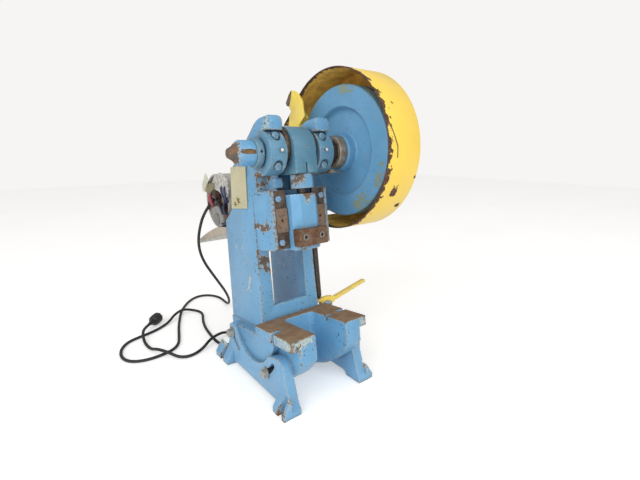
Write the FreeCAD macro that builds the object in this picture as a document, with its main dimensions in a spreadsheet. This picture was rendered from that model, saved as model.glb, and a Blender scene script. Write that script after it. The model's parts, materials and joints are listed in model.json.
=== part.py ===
"""Open-back inclinable bench press with a flywheel, a yellow guard and a motor on the back.

Millimetres. The origin lies on the table, midway between the four feet. +X is the flywheel side,
-Y the front, +Z up. The cast frame leans back about the centre of its cradle, so whatever rides on
it is drawn upright about that centre and then leaned as one.
"""
import FreeCAD, Part
import math
import os

import Sketcher
from FreeCAD import Placement, Rotation, Vector

doc = FreeCAD.newDocument("StampingPress")

# ---------------------------------------------------------------- sizes
SIZES = [
    # stance
    ("pivot_height", 150.0),
    ("frame_lean", 7.2),
    ("slide_gap", 0.3),
    ("running_fit", 0.05),
    ("body_half_width", 82.0),
    ("trunnion_radius", 92.0),
    # legs
    ("leg_inner", "=body_half_width + slide_gap"),
    ("leg_thick", 24.0),
    ("foot_reach", 124.3),
    ("foot_thick", 12.0),
    ("foot_notch_width", 15.0),
    ("foot_notch_depth", 20.0),
    ("gusset_height", 40.0),
    ("rear_foot_start", 97.0),
    ("rear_foot_end", 167.0),
    ("rear_foot_notch", 131.0),
    ("front_foot_start", -120.0),
    ("front_foot_end", -165.0),
    ("front_foot_notch", -147.0),
    ("cradle_radius", "=trunnion_radius + slide_gap"),
    ("slot_radius", 115.0),
    ("slot_width", 13.0),
    ("front_slot_start", -124.0),
    ("front_slot_end", -146.5),
    ("rear_slot_start", -30.0),
    ("rear_slot_end", -54.0),
    ("front_bolt_angle", -126.5),
    ("rear_bolt_angle", -33.0),
    ("tilt_shank_radius", 6.0),
    ("tilt_head_flats", 19.0),
    ("tilt_head_height", 9.0),
    ("tilt_washer_radius", 12.5),
    ("tilt_washer_thick", 2.5),
    ("tilt_thread_depth", 20.0),
    # frame casting
    ("trunnion_half_width", 98.0),
    ("trunnion_top", -27.0),
    ("column_front", -14.0),
    ("column_rear_low", 150.0),
    ("column_rear_high", 132.0),
    ("column_half_high", 73.0),
    ("column_half_low", 80.0),
    ("column_gap", 92.0),
    ("column_base", -60.0),
    ("column_top", 330.0),
    ("bed_top", -5.0),
    ("bed_thick", 22.0),
    ("bed_half_width", 101.5),
    ("bed_front", -160.0),
    ("bed_opening_half", 41.0),
    ("bed_opening_rear", -36.0),
    ("bed_corner", 14.0),
    ("bed_notch_y", -88.0),
    ("bed_notch_width", 12.0),
    ("bed_notch_depth", 22.0),
    ("bed_groove_y", -94.0),
    ("bed_groove_width", 9.0),
    ("sill_top", 28.0),
    ("sill_rear", 10.0),
    ("arm_low", -138.0),
    # guide box and ram
    ("box_half_width", 72.0),
    ("box_front", -91.0),
    ("ball_height", 262.0),
    ("ram_top_rise", 17.0),
    ("ram_top", "=ball_height + ram_top_rise"),
    ("box_top_rise", 11.0),
    ("box_top", "=ram_top + box_top_rise"),
    ("box_bottom_front", 166.0),
    ("box_bottom_rear", 161.0),
    ("rebate_half_width", 65.3),
    ("rebate_depth", 8.0),
    ("ram_wing_half", 46.0),
    ("ram_throat_half", 34.0),
    ("ram_nose_half", 19.0),
    ("ram_front", -119.0),
    ("ram_rear", -45.0),
    ("ram_bottom", 162.0),
    ("ram_flare", 2.0),
    ("guide_fit", 0.1),
    ("ball_radius", 15.0),
    ("rod_line_y", -100.0),
    # head
    ("crank_y", -75.0),
    ("crank_z", 367.0),
    ("ear_inner", 41.0),
    ("ear_outer", 79.0),
    ("ear_top", 436.5),
    ("ear_front", -111.0),
    ("ear_corner", 12.0),
    ("left_dome", -72.0),
    ("left_slope_rear", 67.0),
    ("left_slope_foot", 352.7),
    ("right_dome", -76.0),
    ("right_slope_rear", -20.0),
    ("right_slope_foot", 397.0),
    ("cap_flat_rise", 40.7),
    ("ear_ledge", "=crank_z + cap_flat_rise + slide_gap"),
    ("head_rear_high", 81.0),
    ("head_rear_low", 92.0),
    ("head_rear_foot", 255.0),
    ("head_shoulder", 333.0),
    ("column_shoulder", 225.0),
    ("rod_room_half", 30.0),
    ("rod_room_top", 314.3),
    ("recess_inner", 52.0),
    ("recess_rear", -40.0),
    ("web_front", -8.0),
    ("web_rear", 14.0),
    ("web_top", 398.0),
    ("crown_bottom", 262.0),
    ("cap_radius", 46.0),
    ("cap_bolt_x", 58.5),
    ("cap_bolt_rise", 30.0),
    ("cap_bolt_seat", 28.0),
    ("cap_thread_depth", 20.0),
    ("cap_scallop_radius", 11.5),
    ("cap_bolt_radius", 4.0),
    ("cap_bolt_flats", 14.0),
    ("cap_bolt_head", 7.0),
    ("bush_radius", 24.0),
    ("oil_cup_x", 56.0),
    ("oil_cup_radius", 3.5),
    ("oil_cup_height", 9.0),
    # crank train
    ("journal_radius", 20.0),
    ("throw", 11.0),
    ("pin_radius", 8.0),
    ("cheek_radius", 40.5),
    ("cheek_inner", 28.5),
    ("cheek_outer", 38.0),
    ("stub_radius", 25.5),
    ("stub_inner", 97.0),
    ("stub_outer", 124.0),
    ("stub_tip", 148.0),
    ("keyway_width", 8.0),
    ("keyway_depth", 5.0),
    ("collar_radius", 29.5),
    ("collar_width", 16.0),
    ("collar_screw_radius", 3.2),
    ("ring_radius", 31.0),
    ("rod_half_width", 27.0),
    ("rod_big_radius", 51.0),
    ("rod_big_rise", 3.0),
    ("rod_neck_rise", 58.0),
    ("rod_neck_bottom", "=ball_height + rod_neck_rise"),
    ("rod_swing", 6.0),
    ("pin_clearance", 0.6),
    ("clamp_slit", 3.0),
    ("nut_flats", 45.0),
    ("nut_rise", 28.0),
    ("nut_bottom", "=ball_height + nut_rise"),
    ("screw_radius", 11.0),
    ("rod_bore_depth", 15.0),
    # ram tooling
    ("clamp_half_width", 36.0),
    ("clamp_front", -130.0),
    ("clamp_rear", -106.0),
    ("clamp_top", 207.0),
    ("clamp_bottom", 171.0),
    ("clamp_screw_x", 21.0),
    ("clamp_screw_z", 190.0),
    ("clamp_screw_radius", 7.0),
    ("shank_radius", 12.7),
    ("gib_inner", 34.5),
    ("gib_outer", 65.0),
    ("gib_thick", 5.0),
    ("gib_plate_thick", 4.0),
    ("gib_plate_top", 252.0),
    ("gib_plate_bottom", 202.0),
    ("gib_screw_x", 55.5),
    ("gib_screw_radius", 3.0),
    ("gib_screw_flats", 12.0),
    ("gib_screw_head", 6.0),
    ("gib_screw_high", 272.0),
    ("gib_screw_low", 181.0),
    # flywheel, clutch, guard
    ("wheel_radius", 150.0),
    ("wheel_left", 136.0),
    ("wheel_right", 190.0),
    ("wheel_recess_radius", 100.0),
    ("wheel_recess_depth", 15.0),
    ("wheel_hub_radius", 42.0),
    ("wheel_hub_left", 128.0),
    ("wheel_groove_depth", 9.0),
    ("belt_line_x", 172.0),
    ("belt_width", 10.0),
    ("belt_height", 7.5),
    ("belt_gap", 0.4),
    ("belt_side_gap", 0.6),
    ("clutch_radius", 36.0),
    ("clutch_left", 108.0),
    ("clutch_sleeve_left", 84.0),
    ("clutch_sleeve_radius", 28.0),
    ("shaft_right", 196.0),
    ("end_washer_radius", 30.0),
    ("guard_radius", 180.0),
    ("guard_rise", 3.0),
    ("guard_sheet", 2.5),
    ("guard_left", 106.0),
    ("guard_right", 204.0),
    ("guard_high_angle", 55.0),
    ("guard_low_angle", 300.0),
    ("strap_low", 338.0),
    ("strap_knee", 440.0),
    ("strap_front", -8.0),
    ("strap_width", 44.0),
    ("strap_tip_front", 28.0),
    ("strap_tip_rear", 44.0),
    ("strap_elbow", 52.0),
    # trip linkage
    ("trip_rod_x", 91.0),
    ("trip_rod_y", -3.0),
    ("trip_rod_radius", 8.0),
    ("trip_rod_top", 319.0),
    ("trip_seat", 7.5),
    ("lever_pivot_x", 112.0),
    ("lever_pivot_z", -8.0),
    ("lever_tip_x", 254.0),
    ("lever_thick", 12.0),
    ("lever_root_depth", 9.0),
    ("lever_pin_radius", 5.0),
    ("rod_guide_bottom", 214.0),
    ("rod_guide_height", 16.0),
    # motor
    ("motor_y", 212.0),
    ("motor_z", 275.0),
    ("motor_radius", 72.0),
    ("motor_left", -60.0),
    ("motor_right", 108.0),
    ("motor_wall", 5.0),
    ("motor_open_depth", 38.0),
    ("motor_shaft_radius", 8.0),
    ("coil_depth", 20.0),
    ("capacitor_radius", 14.0),
    ("capacitor_y", -28.0),
    ("capacitor_z", -42.0),
    ("capacitor_proud", 8.0),
    ("pulley_radius", 33.0),
    ("pulley_root", 24.0),
    ("plate_half_width", 72.0),
    ("plate_thick", 6.0),
    ("plate_front_z", 192.0),
    ("plate_rear_y", 350.0),
    ("plate_rear_z", 160.0),
    ("plate_flange", 30.0),
    ("plate_bolt_x", 58.0),
    # small trim
    ("blank_plate_thick", 1.6),
    ("blank_plate_low", 255.0),
    ("blank_plate_high", 351.0),
    ("blank_plate_skew", 1.0),
    ("blank_low_front", 11.0),
    ("blank_low_rear", 91.0),
    ("blank_high_front", -2.0),
    ("blank_high_rear", 74.0),
    ("blank_plate_gap", 0.9),
    ("cord_radius", 4.0),
    ("plug_pin_length", 18.0),
]

sheet = doc.addObject("Spreadsheet::Sheet", "Sizes")
for row, (alias, number) in enumerate(SIZES, start=1):
    sheet.set("A%d" % row, alias)
    sheet.set("B%d" % row, str(number))
    sheet.setAlias("B%d" % row, alias)
doc.recompute()


class Size:
    """Reads a size of the sheet by its name."""

    def __getattr__(self, alias):
        return float(sheet.get(alias))


size = Size()
nodes = []

# the frame's own upright coordinates, leaned about the cradle's centre
LEAN = Placement(
    Vector(0, 0, size.pivot_height),
    Rotation(Vector(1, 0, 0), -size.frame_lean),
)
LEVEL = Placement()


# ---------------------------------------------------------------- helpers
def new_body(name, place):
    body = doc.addObject("PartDesign::Body", name)
    body.Label = name
    body.Placement = place
    nodes.append(body)
    return body


def origin_plane(body, role):
    for item in body.Origin.OriginFeatures:
        if item.Role == role:
            return item
    raise ValueError("no plane " + role)


def new_sketch(body, plane, offset=0.0):
    """A sketch on one of the body's own planes, moved along that plane's normal."""
    sketch = body.newObject("Sketcher::SketchObject", body.Name + "_sketch")
    sketch.AttachmentSupport = [(origin_plane(body, plane + "_Plane"), "")]
    sketch.MapMode = "FlatFace"
    sketch.AttachmentOffset = Placement(Vector(0, 0, offset), Rotation())
    return sketch


def point(pair):
    return Vector(pair[0], pair[1], 0)


def outline(sketch, start, *steps):
    """A closed outline: each step is an end point, or (middle, end) of an arc."""
    here = start
    for step in steps + (start,):
        if isinstance(step[0], tuple):
            middle, end = step
            sketch.addGeometry(Part.Arc(point(here), point(middle), point(end)), False)
        else:
            end = step
            if math.dist(here, end) > 1e-6:
                sketch.addGeometry(Part.LineSegment(point(here), point(end)), False)
        here = end


def rectangle(sketch, left, right, low, high):
    outline(sketch, (left, low), (right, low), (right, high), (left, high))


def circle(sketch, centre, radius_name):
    """A circle whose radius follows the sheet."""
    index = sketch.addGeometry(
        Part.Circle(point(centre), Vector(0, 0, 1), getattr(size, radius_name.split(" ")[0]))
    )
    number = sketch.addConstraint(Sketcher.Constraint("Radius", index, 1.0))
    sketch.setExpression("Constraints[%d]" % number, bound(radius_name))


def bound(text):
    """Names of sizes in an expression get the sheet's name in front."""
    words = []
    for word in text.split(" "):
        is_name = word[0].isalpha()
        words.append("Sizes." + word if is_name else word)
    return " ".join(words)


def pad(body, sketch, length, both=False, back=False):
    feature = body.newObject("PartDesign::Pad", body.Name + "_pad")
    feature.Profile = sketch
    feature.setExpression("Length", bound(length))
    feature.Midplane = both
    feature.Reversed = back
    doc.recompute()
    return feature


def pocket(body, sketch, length, both=False, back=False):
    before = body.Shape.Volume
    feature = body.newObject("PartDesign::Pocket", body.Name + "_pocket")
    feature.Profile = sketch
    feature.setExpression("Length", bound(length))
    feature.Midplane = both
    feature.Reversed = back
    doc.recompute()
    if body.Shape.Volume > before - 1e-3:
        raise ValueError("%s removes nothing from %s" % (sketch.Name, body.Label))
    return feature


def turn(body, sketch, axis):
    feature = body.newObject("PartDesign::Revolution", body.Name + "_turned")
    feature.Profile = sketch
    feature.ReferenceAxis = (sketch, [axis])
    feature.Angle = 360.0
    doc.recompute()
    return feature


def groove(body, sketch, axis):
    before = body.Shape.Volume
    feature = body.newObject("PartDesign::Groove", body.Name + "_groove")
    feature.Profile = sketch
    feature.ReferenceAxis = (sketch, [axis])
    feature.Angle = 360.0
    doc.recompute()
    if body.Shape.Volume > before - 1e-3:
        raise ValueError("%s removes nothing from %s" % (sketch.Name, body.Label))
    return feature


def cylinder(name, radius, height, base, direction):
    """A drum with its base centre and axis given."""
    drum = doc.addObject("Part::Cylinder", name)
    drum.setExpression("Radius", bound(radius))
    drum.setExpression("Height", bound(height))
    drum.Placement = Placement(base, Rotation(Vector(0, 0, 1), direction))
    return drum


def hexagon(name, flats, height, base, direction):
    """A hexagonal prism given across its flats."""
    prism = doc.addObject("Part::Prism", name)
    prism.Polygon = 6
    prism.setExpression("Circumradius", bound(flats) + " / 1.7320508")
    prism.setExpression("Height", bound(height))
    prism.Placement = Placement(base, Rotation(Vector(0, 0, 1), direction))
    return prism


def fuse(name, pieces):
    union = doc.addObject("Part::MultiFuse", name)
    union.Shapes = pieces
    return union


def group(name, pieces, place):
    """Like pieces kept as separate solids of one node."""
    bundle = doc.addObject("Part::Compound", name)
    bundle.Links = pieces
    bundle.Label = name
    bundle.Placement = place
    nodes.append(bundle)
    return bundle


def shaped(name, shape, place):
    """A piece whose form comes straight from its shape."""
    feature = doc.addObject("Part::Feature", name)
    feature.Label = name
    feature.Shape = shape
    feature.Placement = place
    nodes.append(feature)
    return feature


def polar(radius, degrees, centre=(0.0, 0.0)):
    angle = math.radians(degrees)
    return (centre[0] + radius * math.cos(angle), centre[1] + radius * math.sin(angle))


# ---------------------------------------------------------------- legs
def leg(name, side):
    """One cast leg: a cradle for the frame's round boss, two arc slots, and feet turned outward."""
    body = new_body(name, LEVEL)
    rise = size.pivot_height
    cradle = size.cradle_radius
    rear_end = polar(cradle, -29.0, (0.0, rise))
    low_mid = polar(cradle, -90.0, (0.0, rise))
    front_end = polar(cradle, -147.0, (0.0, rise))
    sketch = new_sketch(body, "YZ", side * size.leg_inner)
    outline(
        sketch,
        (size.front_foot_end, 0.0),
        (size.front_foot_end, size.foot_thick),
        ((-158.0, 22.0), (-152.0, 38.0)),
        (-139.0, 76.0),
        ((-130.7, 102.7), (-104.5, 108.5)),
        front_end,
        (low_mid, rear_end),
        ((97.0, 112.0), (111.0, 101.0)),
        ((114.0, 72.0), (126.0, 41.0)),
        ((138.0, 22.0), (size.rear_foot_end, size.foot_thick)),
        (size.rear_foot_end, 0.0),
        (size.rear_foot_start, 0.0),
        ((size.rear_foot_start - 6.0, 7.5), (size.rear_foot_start - 15.0, 10.0)),
        (size.front_foot_start + 15.0, 10.0),
        ((size.front_foot_start + 6.0, 7.5), (size.front_foot_start, 0.0)),
    )
    pad(body, sketch, "leg_thick", back=side < 0)
    feet(body, side)
    for start, end in (
        (size.front_slot_start, size.front_slot_end),
        (size.rear_slot_start, size.rear_slot_end),
    ):
        arc_slot(body, side, start, end)
    return body


def feet(body, side):
    """Front and rear foot flanges with a wedge above and a notch open to the outside."""
    outer_web = size.leg_inner + size.leg_thick
    for rear, front, notch in (
        (size.rear_foot_end, size.rear_foot_start, size.rear_foot_notch),
        (size.front_foot_start, size.front_foot_end, size.front_foot_notch),
    ):
        wedge = new_sketch(body, "XZ", -front)
        outline(
            wedge,
            (side * (outer_web - 1.0), 0.0),
            (side * size.foot_reach, 0.0),
            (side * size.foot_reach, size.foot_thick),
            (side * outer_web, size.gusset_height),
            (side * (outer_web - 1.0), size.gusset_height),
        )
        flange = body.newObject("PartDesign::Pad", body.Name + "_foot")
        flange.Profile = wedge
        flange.Length = rear - front
        flange.Reversed = True
        doc.recompute()
        cut = new_sketch(body, "XY", size.gusset_height + 5.0)
        half = size.foot_notch_width / 2.0
        inner = side * (size.foot_reach - size.foot_notch_depth + half)
        outer = side * (size.foot_reach + 1.0)
        outline(
            cut,
            (outer, notch - half),
            (inner, notch - half),
            ((inner - side * half, notch), (inner, notch + half)),
            (outer, notch + half),
        )
        pocket(body, cut, "gusset_height + 6")


def arc_slot(body, side, start, end):
    """A slot bent round the cradle's centre, with round ends."""
    centre = (0.0, size.pivot_height)
    middle = (start + end) / 2.0
    half = size.slot_width / 2.0
    inner = size.slot_radius - half
    outer = size.slot_radius + half
    cap = math.degrees(half / size.slot_radius)
    sketch = new_sketch(body, "YZ", side * size.leg_inner)
    outline(
        sketch,
        polar(inner, start, centre),
        (polar(inner, middle, centre), polar(inner, end, centre)),
        (polar(size.slot_radius, end - cap, centre), polar(outer, end, centre)),
        (polar(outer, middle, centre), polar(outer, start, centre)),
        (polar(size.slot_radius, start + cap, centre), polar(inner, start, centre)),
    )
    pocket(body, sketch, "leg_thick", back=side > 0)


def tilt_bolts():
    """Four bolts through the leg slots into the frame, with washers under their heads."""
    bolts = []
    face = size.leg_inner + size.leg_thick + size.slide_gap
    for side in (-1, 1):
        out = Vector(side, 0, 0)
        for number, angle in enumerate((size.front_bolt_angle, size.rear_bolt_angle)):
            y, z = polar(size.slot_radius, angle + size.frame_lean)
            tag = "tilt_%s_%d" % ("right" if side > 0 else "left", number)
            root = Vector(side * (size.body_half_width - size.tilt_thread_depth), y, z)
            seat = Vector(side * face, y, z)
            head = seat + out * size.tilt_washer_thick
            shank_length = "leg_thick + leg_inner - body_half_width + tilt_thread_depth + slide_gap"
            shank = cylinder(tag + "_shank", "tilt_shank_radius", shank_length, root, out)
            washer = cylinder(
                tag + "_washer", "tilt_washer_radius", "tilt_washer_thick", seat, out
            )
            cap = hexagon(tag + "_head", "tilt_head_flats", "tilt_head_height", head, out)
            bolts.append(fuse(tag, [shank, washer, cap]))
    group("tilt_bolts", bolts, LEAN)


# ---------------------------------------------------------------- frame casting
def rear_edge(height):
    """How far back the sloping rear of the columns lies at a height."""
    drop = (size.column_top - height) / (size.column_top - size.column_base)
    return size.column_rear_high + (size.column_rear_low - size.column_rear_high) * drop


def press_frame():
    """Columns, bed, guide box and head in one casting."""
    body = new_body("press_frame", LEAN)
    frame_columns(body)
    frame_lower_body(body)
    frame_guide_box(body)
    frame_head(body)
    frame_openings(body)
    ear_corners(body)
    frame_bores(body)
    return body


def frame_columns(body):
    front_view = new_sketch(body, "XZ", -size.column_front)
    outline(
        front_view,
        (-size.column_half_low, size.column_base),
        (size.column_half_low, size.column_base),
        (size.column_half_high, size.box_top),
        (size.column_half_high, size.column_top),
        (-size.column_half_high, size.column_top),
        (-size.column_half_high, size.box_top),
    )
    pad(body, front_view, "column_rear_low - column_front", back=True)
    rear = new_sketch(body, "YZ")
    outline(
        rear,
        (size.column_rear_low + 5.0, size.column_base - 5.0),
        (size.column_rear_low + 5.0, size.column_top + 5.0),
        (size.head_rear_high, size.column_top + 5.0),
        (size.head_rear_low, size.head_rear_foot),
        (rear_edge(size.column_shoulder), size.column_shoulder),
        (rear_edge(size.column_base - 5.0), size.column_base - 5.0),
    )
    pocket(body, rear, "column_half_low * 3", both=True)


def frame_lower_body(body):
    """Arms under the bed with their curved underside, the round bosses and the bed pads."""
    arms = new_sketch(body, "YZ")
    outline(
        arms,
        (size.bed_front, size.trunnion_top + 5.0),
        (size.bed_front, -58.0),
        ((-105.0, -109.0), (-28.0, size.arm_low)),
        ((24.0, -128.0), (69.0, -98.0)),
        (rear_edge(-42.0), -42.0),
        (rear_edge(size.trunnion_top + 5.0), size.trunnion_top + 5.0),
    )
    pad(body, arms, "body_half_width * 2", both=True)
    boss = new_sketch(body, "YZ")
    reach = math.sqrt(size.trunnion_radius ** 2 - size.trunnion_top ** 2)
    outline(
        boss,
        (-reach, size.trunnion_top),
        ((0.0, -size.trunnion_radius), (reach, size.trunnion_top)),
    )
    pad(body, boss, "trunnion_half_width * 2", both=True)
    pads = new_sketch(body, "XY", size.bed_top)
    rectangle(
        pads,
        -size.bed_half_width,
        size.bed_half_width,
        size.bed_front,
        size.column_front,
    )
    pad(body, pads, "bed_thick", back=True)


def frame_guide_box(body):
    side_view = new_sketch(body, "YZ")
    outline(
        side_view,
        (size.box_front, size.box_top),
        (size.box_front, size.box_bottom_front),
        (size.column_front + 1.0, size.box_bottom_rear),
        (size.column_front + 1.0, size.box_top),
    )
    pad(body, side_view, "box_half_width * 2", both=True)


def ear_profile(dome, slope_end):
    """Side view of an ear from its ledge over the cap to the foot of its rear slope."""
    front = size.ear_front
    top = size.ear_top
    easing = 5.0
    corner = easing * (1.0 - math.sqrt(0.5))
    return (
        (front, size.ear_ledge),
        (front, top - easing),
        ((front + corner, top - corner), (front + easing, top)),
        (dome - 16.0, top),
        ((dome - 7.0, top - 1.0), (dome, top - 4.0)),
        slope_end,
    )


def frame_head(body):
    """Side plates that rise to the dome-topped ears, and the wider bearing blocks in front."""
    plates = new_sketch(body, "YZ")
    low_rear = size.head_rear_high + (size.head_rear_low - size.head_rear_high) * (
        size.head_shoulder - size.box_top + 5.0
    ) / (size.head_shoulder - size.head_rear_foot)
    outline(
        plates,
        (size.crank_y, size.box_top - 5.0),
        (size.crank_y, size.ear_ledge),
        *ear_profile(size.left_dome, (size.left_slope_rear, size.left_slope_foot)),
        ((77.5, 344.5), (size.head_rear_high, size.head_shoulder)),
        (low_rear, size.box_top - 5.0),
    )
    pad(body, plates, "column_half_high * 2", both=True)
    blocks = new_sketch(body, "YZ")
    low = size.crank_z - size.cap_radius
    outline(
        blocks,
        (size.crank_y, low),
        (size.crank_y, size.ear_ledge),
        *ear_profile(size.right_dome, (size.right_slope_rear, size.right_slope_foot)),
        ((-16.0, 360.0), (-40.0, low + 2.0)),
    )
    pad(body, blocks, "ear_outer * 2", both=True)


def ear_corners(body):
    """The ears are round-shouldered as seen from the front."""
    radius = size.ear_corner
    top = size.ear_top
    bend = radius * (1.0 - math.sqrt(0.5))
    for edge, inward in (
        (-size.ear_outer, 1.0),
        (-size.ear_inner, -1.0),
        (size.ear_inner, 1.0),
        (size.ear_outer, -1.0),
    ):
        shoulder = new_sketch(body, "XZ", -(size.ear_front - 5.0))
        beyond = edge - inward * 2.0
        outline(
            shoulder,
            (edge, top - radius),
            ((edge + inward * bend, top - bend), (edge + inward * radius, top)),
            (edge + inward * radius, top + 2.0),
            (beyond, top + 2.0),
            (beyond, top - radius),
        )
        pocket(body, shoulder, "ear_corner * 5")


def frame_openings(body):
    """Crank space, open back, bed opening, notches and the ram's guide."""
    crank_space = new_sketch(body, "YZ")
    far_front = size.crank_y - 60.0
    above = size.ear_top + 20.0
    outline(
        crank_space,
        (far_front, size.rod_room_top),
        (size.web_front, size.rod_room_top),
        (size.web_front, size.web_top),
        (size.web_rear + 5.0, size.web_top),
        (size.web_rear + 5.0, above),
        (far_front, above),
    )
    pocket(body, crank_space, "ear_inner * 2", both=True)
    rod_room = new_sketch(body, "YZ")
    rectangle(rod_room, far_front, size.web_front, size.box_top, size.rod_room_top + 1.0)
    pocket(body, rod_room, "rod_room_half * 2", both=True)
    recess = new_sketch(body, "XZ", -(size.crank_y - 1.0))
    for side in (-1, 1):
        inner = side * size.recess_inner
        outer = side * (size.column_half_high + 1.0)
        rectangle(
            recess,
            min(inner, outer),
            max(inner, outer),
            size.box_top + 1.0,
            size.crank_z - size.cap_radius - 1.0,
        )
    pocket(body, recess, "recess_rear - crank_y + 1")
    open_back = new_sketch(body, "YZ")
    behind = size.column_rear_low + 20.0
    below = size.arm_low - 20.0
    outline(
        open_back,
        (size.sill_rear, below),
        (size.sill_rear, size.sill_top - 12.0),
        ((6.5, size.sill_top - 3.5), (-2.0, size.sill_top)),
        (size.column_front - 5.0, size.sill_top),
        (size.column_front - 5.0, size.box_bottom_rear + 0.4),
        (size.column_front + 1.0, size.box_bottom_rear),
        (size.column_front + 1.0, size.crown_bottom),
        (size.web_rear, size.crown_bottom + 14.0),
        (size.web_rear, above),
        (behind, above),
        (behind, below),
    )
    pocket(body, open_back, "column_gap", both=True)
    bed = new_sketch(body, "XY", size.bed_top + 5.0)
    half = size.bed_opening_half
    rear = size.bed_opening_rear
    corner = size.bed_corner
    bend = corner * (1.0 - math.sqrt(0.5))
    outline(
        bed,
        (-half, size.bed_front - 5.0),
        (half, size.bed_front - 5.0),
        (half, rear - corner),
        ((half - bend, rear - bend), (half - corner, rear)),
        (-half + corner, rear),
        ((-half + bend, rear - bend), (-half, rear - corner)),
    )
    pocket(body, bed, "bed_top - arm_low + 10")
    for side in (-1, 1):
        notch = new_sketch(body, "XY", size.bed_top + 5.0)
        inner = side * (size.bed_half_width - size.bed_notch_depth)
        outer = side * (size.bed_half_width + 5.0)
        low = size.bed_notch_y - size.bed_notch_width / 2.0
        high = size.bed_notch_y + size.bed_notch_width / 2.0
        rectangle(notch, min(inner, outer), max(inner, outer), low, high)
        pocket(body, notch, "bed_thick + 5")
    groove_cut = new_sketch(body, "XY", size.bed_top + 5.0)
    rectangle(
        groove_cut,
        size.bed_opening_half - 5.0,
        size.bed_opening_half + 15.0,
        size.bed_groove_y - size.bed_groove_width / 2.0,
        size.bed_groove_y + size.bed_groove_width / 2.0,
    )
    pocket(body, groove_cut, "bed_thick - 5")
    guide = new_sketch(body, "XY", size.box_top + 5.0)
    wing = size.ram_wing_half + size.guide_fit
    rebate = size.box_front + size.rebate_depth
    back = size.ram_rear + size.guide_fit
    wide = size.rebate_half_width
    outline(
        guide,
        (-wide, size.box_front - 5.0),
        (wide, size.box_front - 5.0),
        (wide, rebate),
        (wing, rebate),
        (wing, back),
        (-wing, back),
        (-wing, rebate),
        (-wide, rebate),
    )
    pocket(body, guide, "box_top - box_bottom_rear + 20")


def frame_bores(body):
    """Bearing bore and the threaded holes for bolts."""
    bearing = new_sketch(body, "YZ")
    circle(bearing, (size.crank_y, size.crank_z), "bush_radius")
    pocket(body, bearing, "ear_outer * 2 + 10", both=True)
    for side in (-1, 1):
        tilt = new_sketch(body, "YZ", side * size.body_half_width)
        for angle in (size.front_bolt_angle, size.rear_bolt_angle):
            centre = polar(size.slot_radius, angle + size.frame_lean)
            circle(tilt, centre, "tilt_shank_radius + running_fit")
        pocket(body, tilt, "tilt_thread_depth + 2", back=side < 0)
    caps = new_sketch(body, "XZ", -size.crank_y)
    for side in (-1, 1):
        for rise in (-1, 1):
            centre = (side * size.cap_bolt_x, size.crank_z + rise * size.cap_bolt_rise)
            circle(caps, centre, "cap_bolt_radius + running_fit")
    pocket(body, caps, "cap_thread_depth + 2")
    gibs = new_sketch(body, "XZ", -(size.box_front + size.rebate_depth))
    for side in (-1, 1):
        for height in (size.gib_screw_high, size.gib_screw_low):
            circle(gibs, (side * size.gib_screw_x, height), "gib_screw_radius + running_fit")
    pocket(body, gibs, "rebate_depth * 2")
    strap = new_sketch(body, "YZ", size.column_half_high + 1.0)
    for place in strap_bolt_places():
        circle(strap, place, "cap_bolt_radius + running_fit")
    pocket(body, strap, "cap_thread_depth")
    motor = new_sketch(body, "XZ", -(size.column_rear_low + 5.0))
    for side in (-1, 1):
        centre = (side * size.plate_bolt_x, size.plate_front_z + size.plate_flange / 2.0 + 3.0)
        circle(motor, centre, "cap_bolt_radius + running_fit")
    pocket(body, motor, "column_rear_low - column_rear_high + 25", back=True)


# ---------------------------------------------------------------- bearings
def bearing_cap(name, side):
    """Half-round cap in front of a journal, scooped out round its two bolts."""
    body = new_body(name, LEAN)
    sketch = new_sketch(body, "YZ", side * size.ear_inner)
    low = (size.crank_y, size.crank_z - size.cap_radius)
    front = (size.crank_y - size.cap_radius, size.crank_z)
    flat = size.crank_z + size.cap_flat_rise
    meet = size.crank_y - math.sqrt(size.cap_radius ** 2 - size.cap_flat_rise ** 2)
    outline(sketch, low, (front, (meet, flat)), (size.crank_y, flat))
    pad(body, sketch, "ear_outer - ear_inner", back=side < 0)
    bore = new_sketch(body, "YZ")
    circle(bore, (size.crank_y, size.crank_z), "bush_radius")
    pocket(body, bore, "ear_outer * 2 + 10", both=True)
    scallops = new_sketch(body, "XZ", -(size.crank_y - size.cap_bolt_seat))
    holes = new_sketch(body, "XZ", -(size.crank_y - size.cap_bolt_seat - 5.0))
    for rise in (-1, 1):
        centre = (side * size.cap_bolt_x, size.crank_z + rise * size.cap_bolt_rise)
        circle(scallops, centre, "cap_scallop_radius")
        circle(holes, centre, "cap_bolt_radius + running_fit")
    pocket(body, scallops, "cap_radius", back=True)
    pocket(body, holes, "cap_radius")
    cup = new_sketch(body, "XZ", -(size.crank_y - size.cap_radius - 5.0))
    circle(cup, (side * size.oil_cup_x, size.crank_z), "oil_cup_radius - running_fit")
    pocket(body, cup, "oil_cup_height + 1")
    return body


def cap_bolts():
    bolts = []
    seat = size.crank_y - size.cap_bolt_seat
    out = Vector(0, -1, 0)
    for side in (-1, 1):
        for rise in (-1, 1):
            tag = "cap_bolt_%d" % (len(bolts) + 1)
            x = side * size.cap_bolt_x
            z = size.crank_z + rise * size.cap_bolt_rise
            root = Vector(x, size.crank_y + size.cap_thread_depth, z)
            length = "cap_bolt_seat + cap_thread_depth"
            shank = cylinder(tag + "_shank", "cap_bolt_radius", length, root, out)
            head = hexagon(
                tag + "_head", "cap_bolt_flats", "cap_bolt_head", Vector(x, seat, z), out
            )
            bolts.append(fuse(tag, [shank, head]))
    group("cap_bolts", bolts, LEAN)


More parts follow.
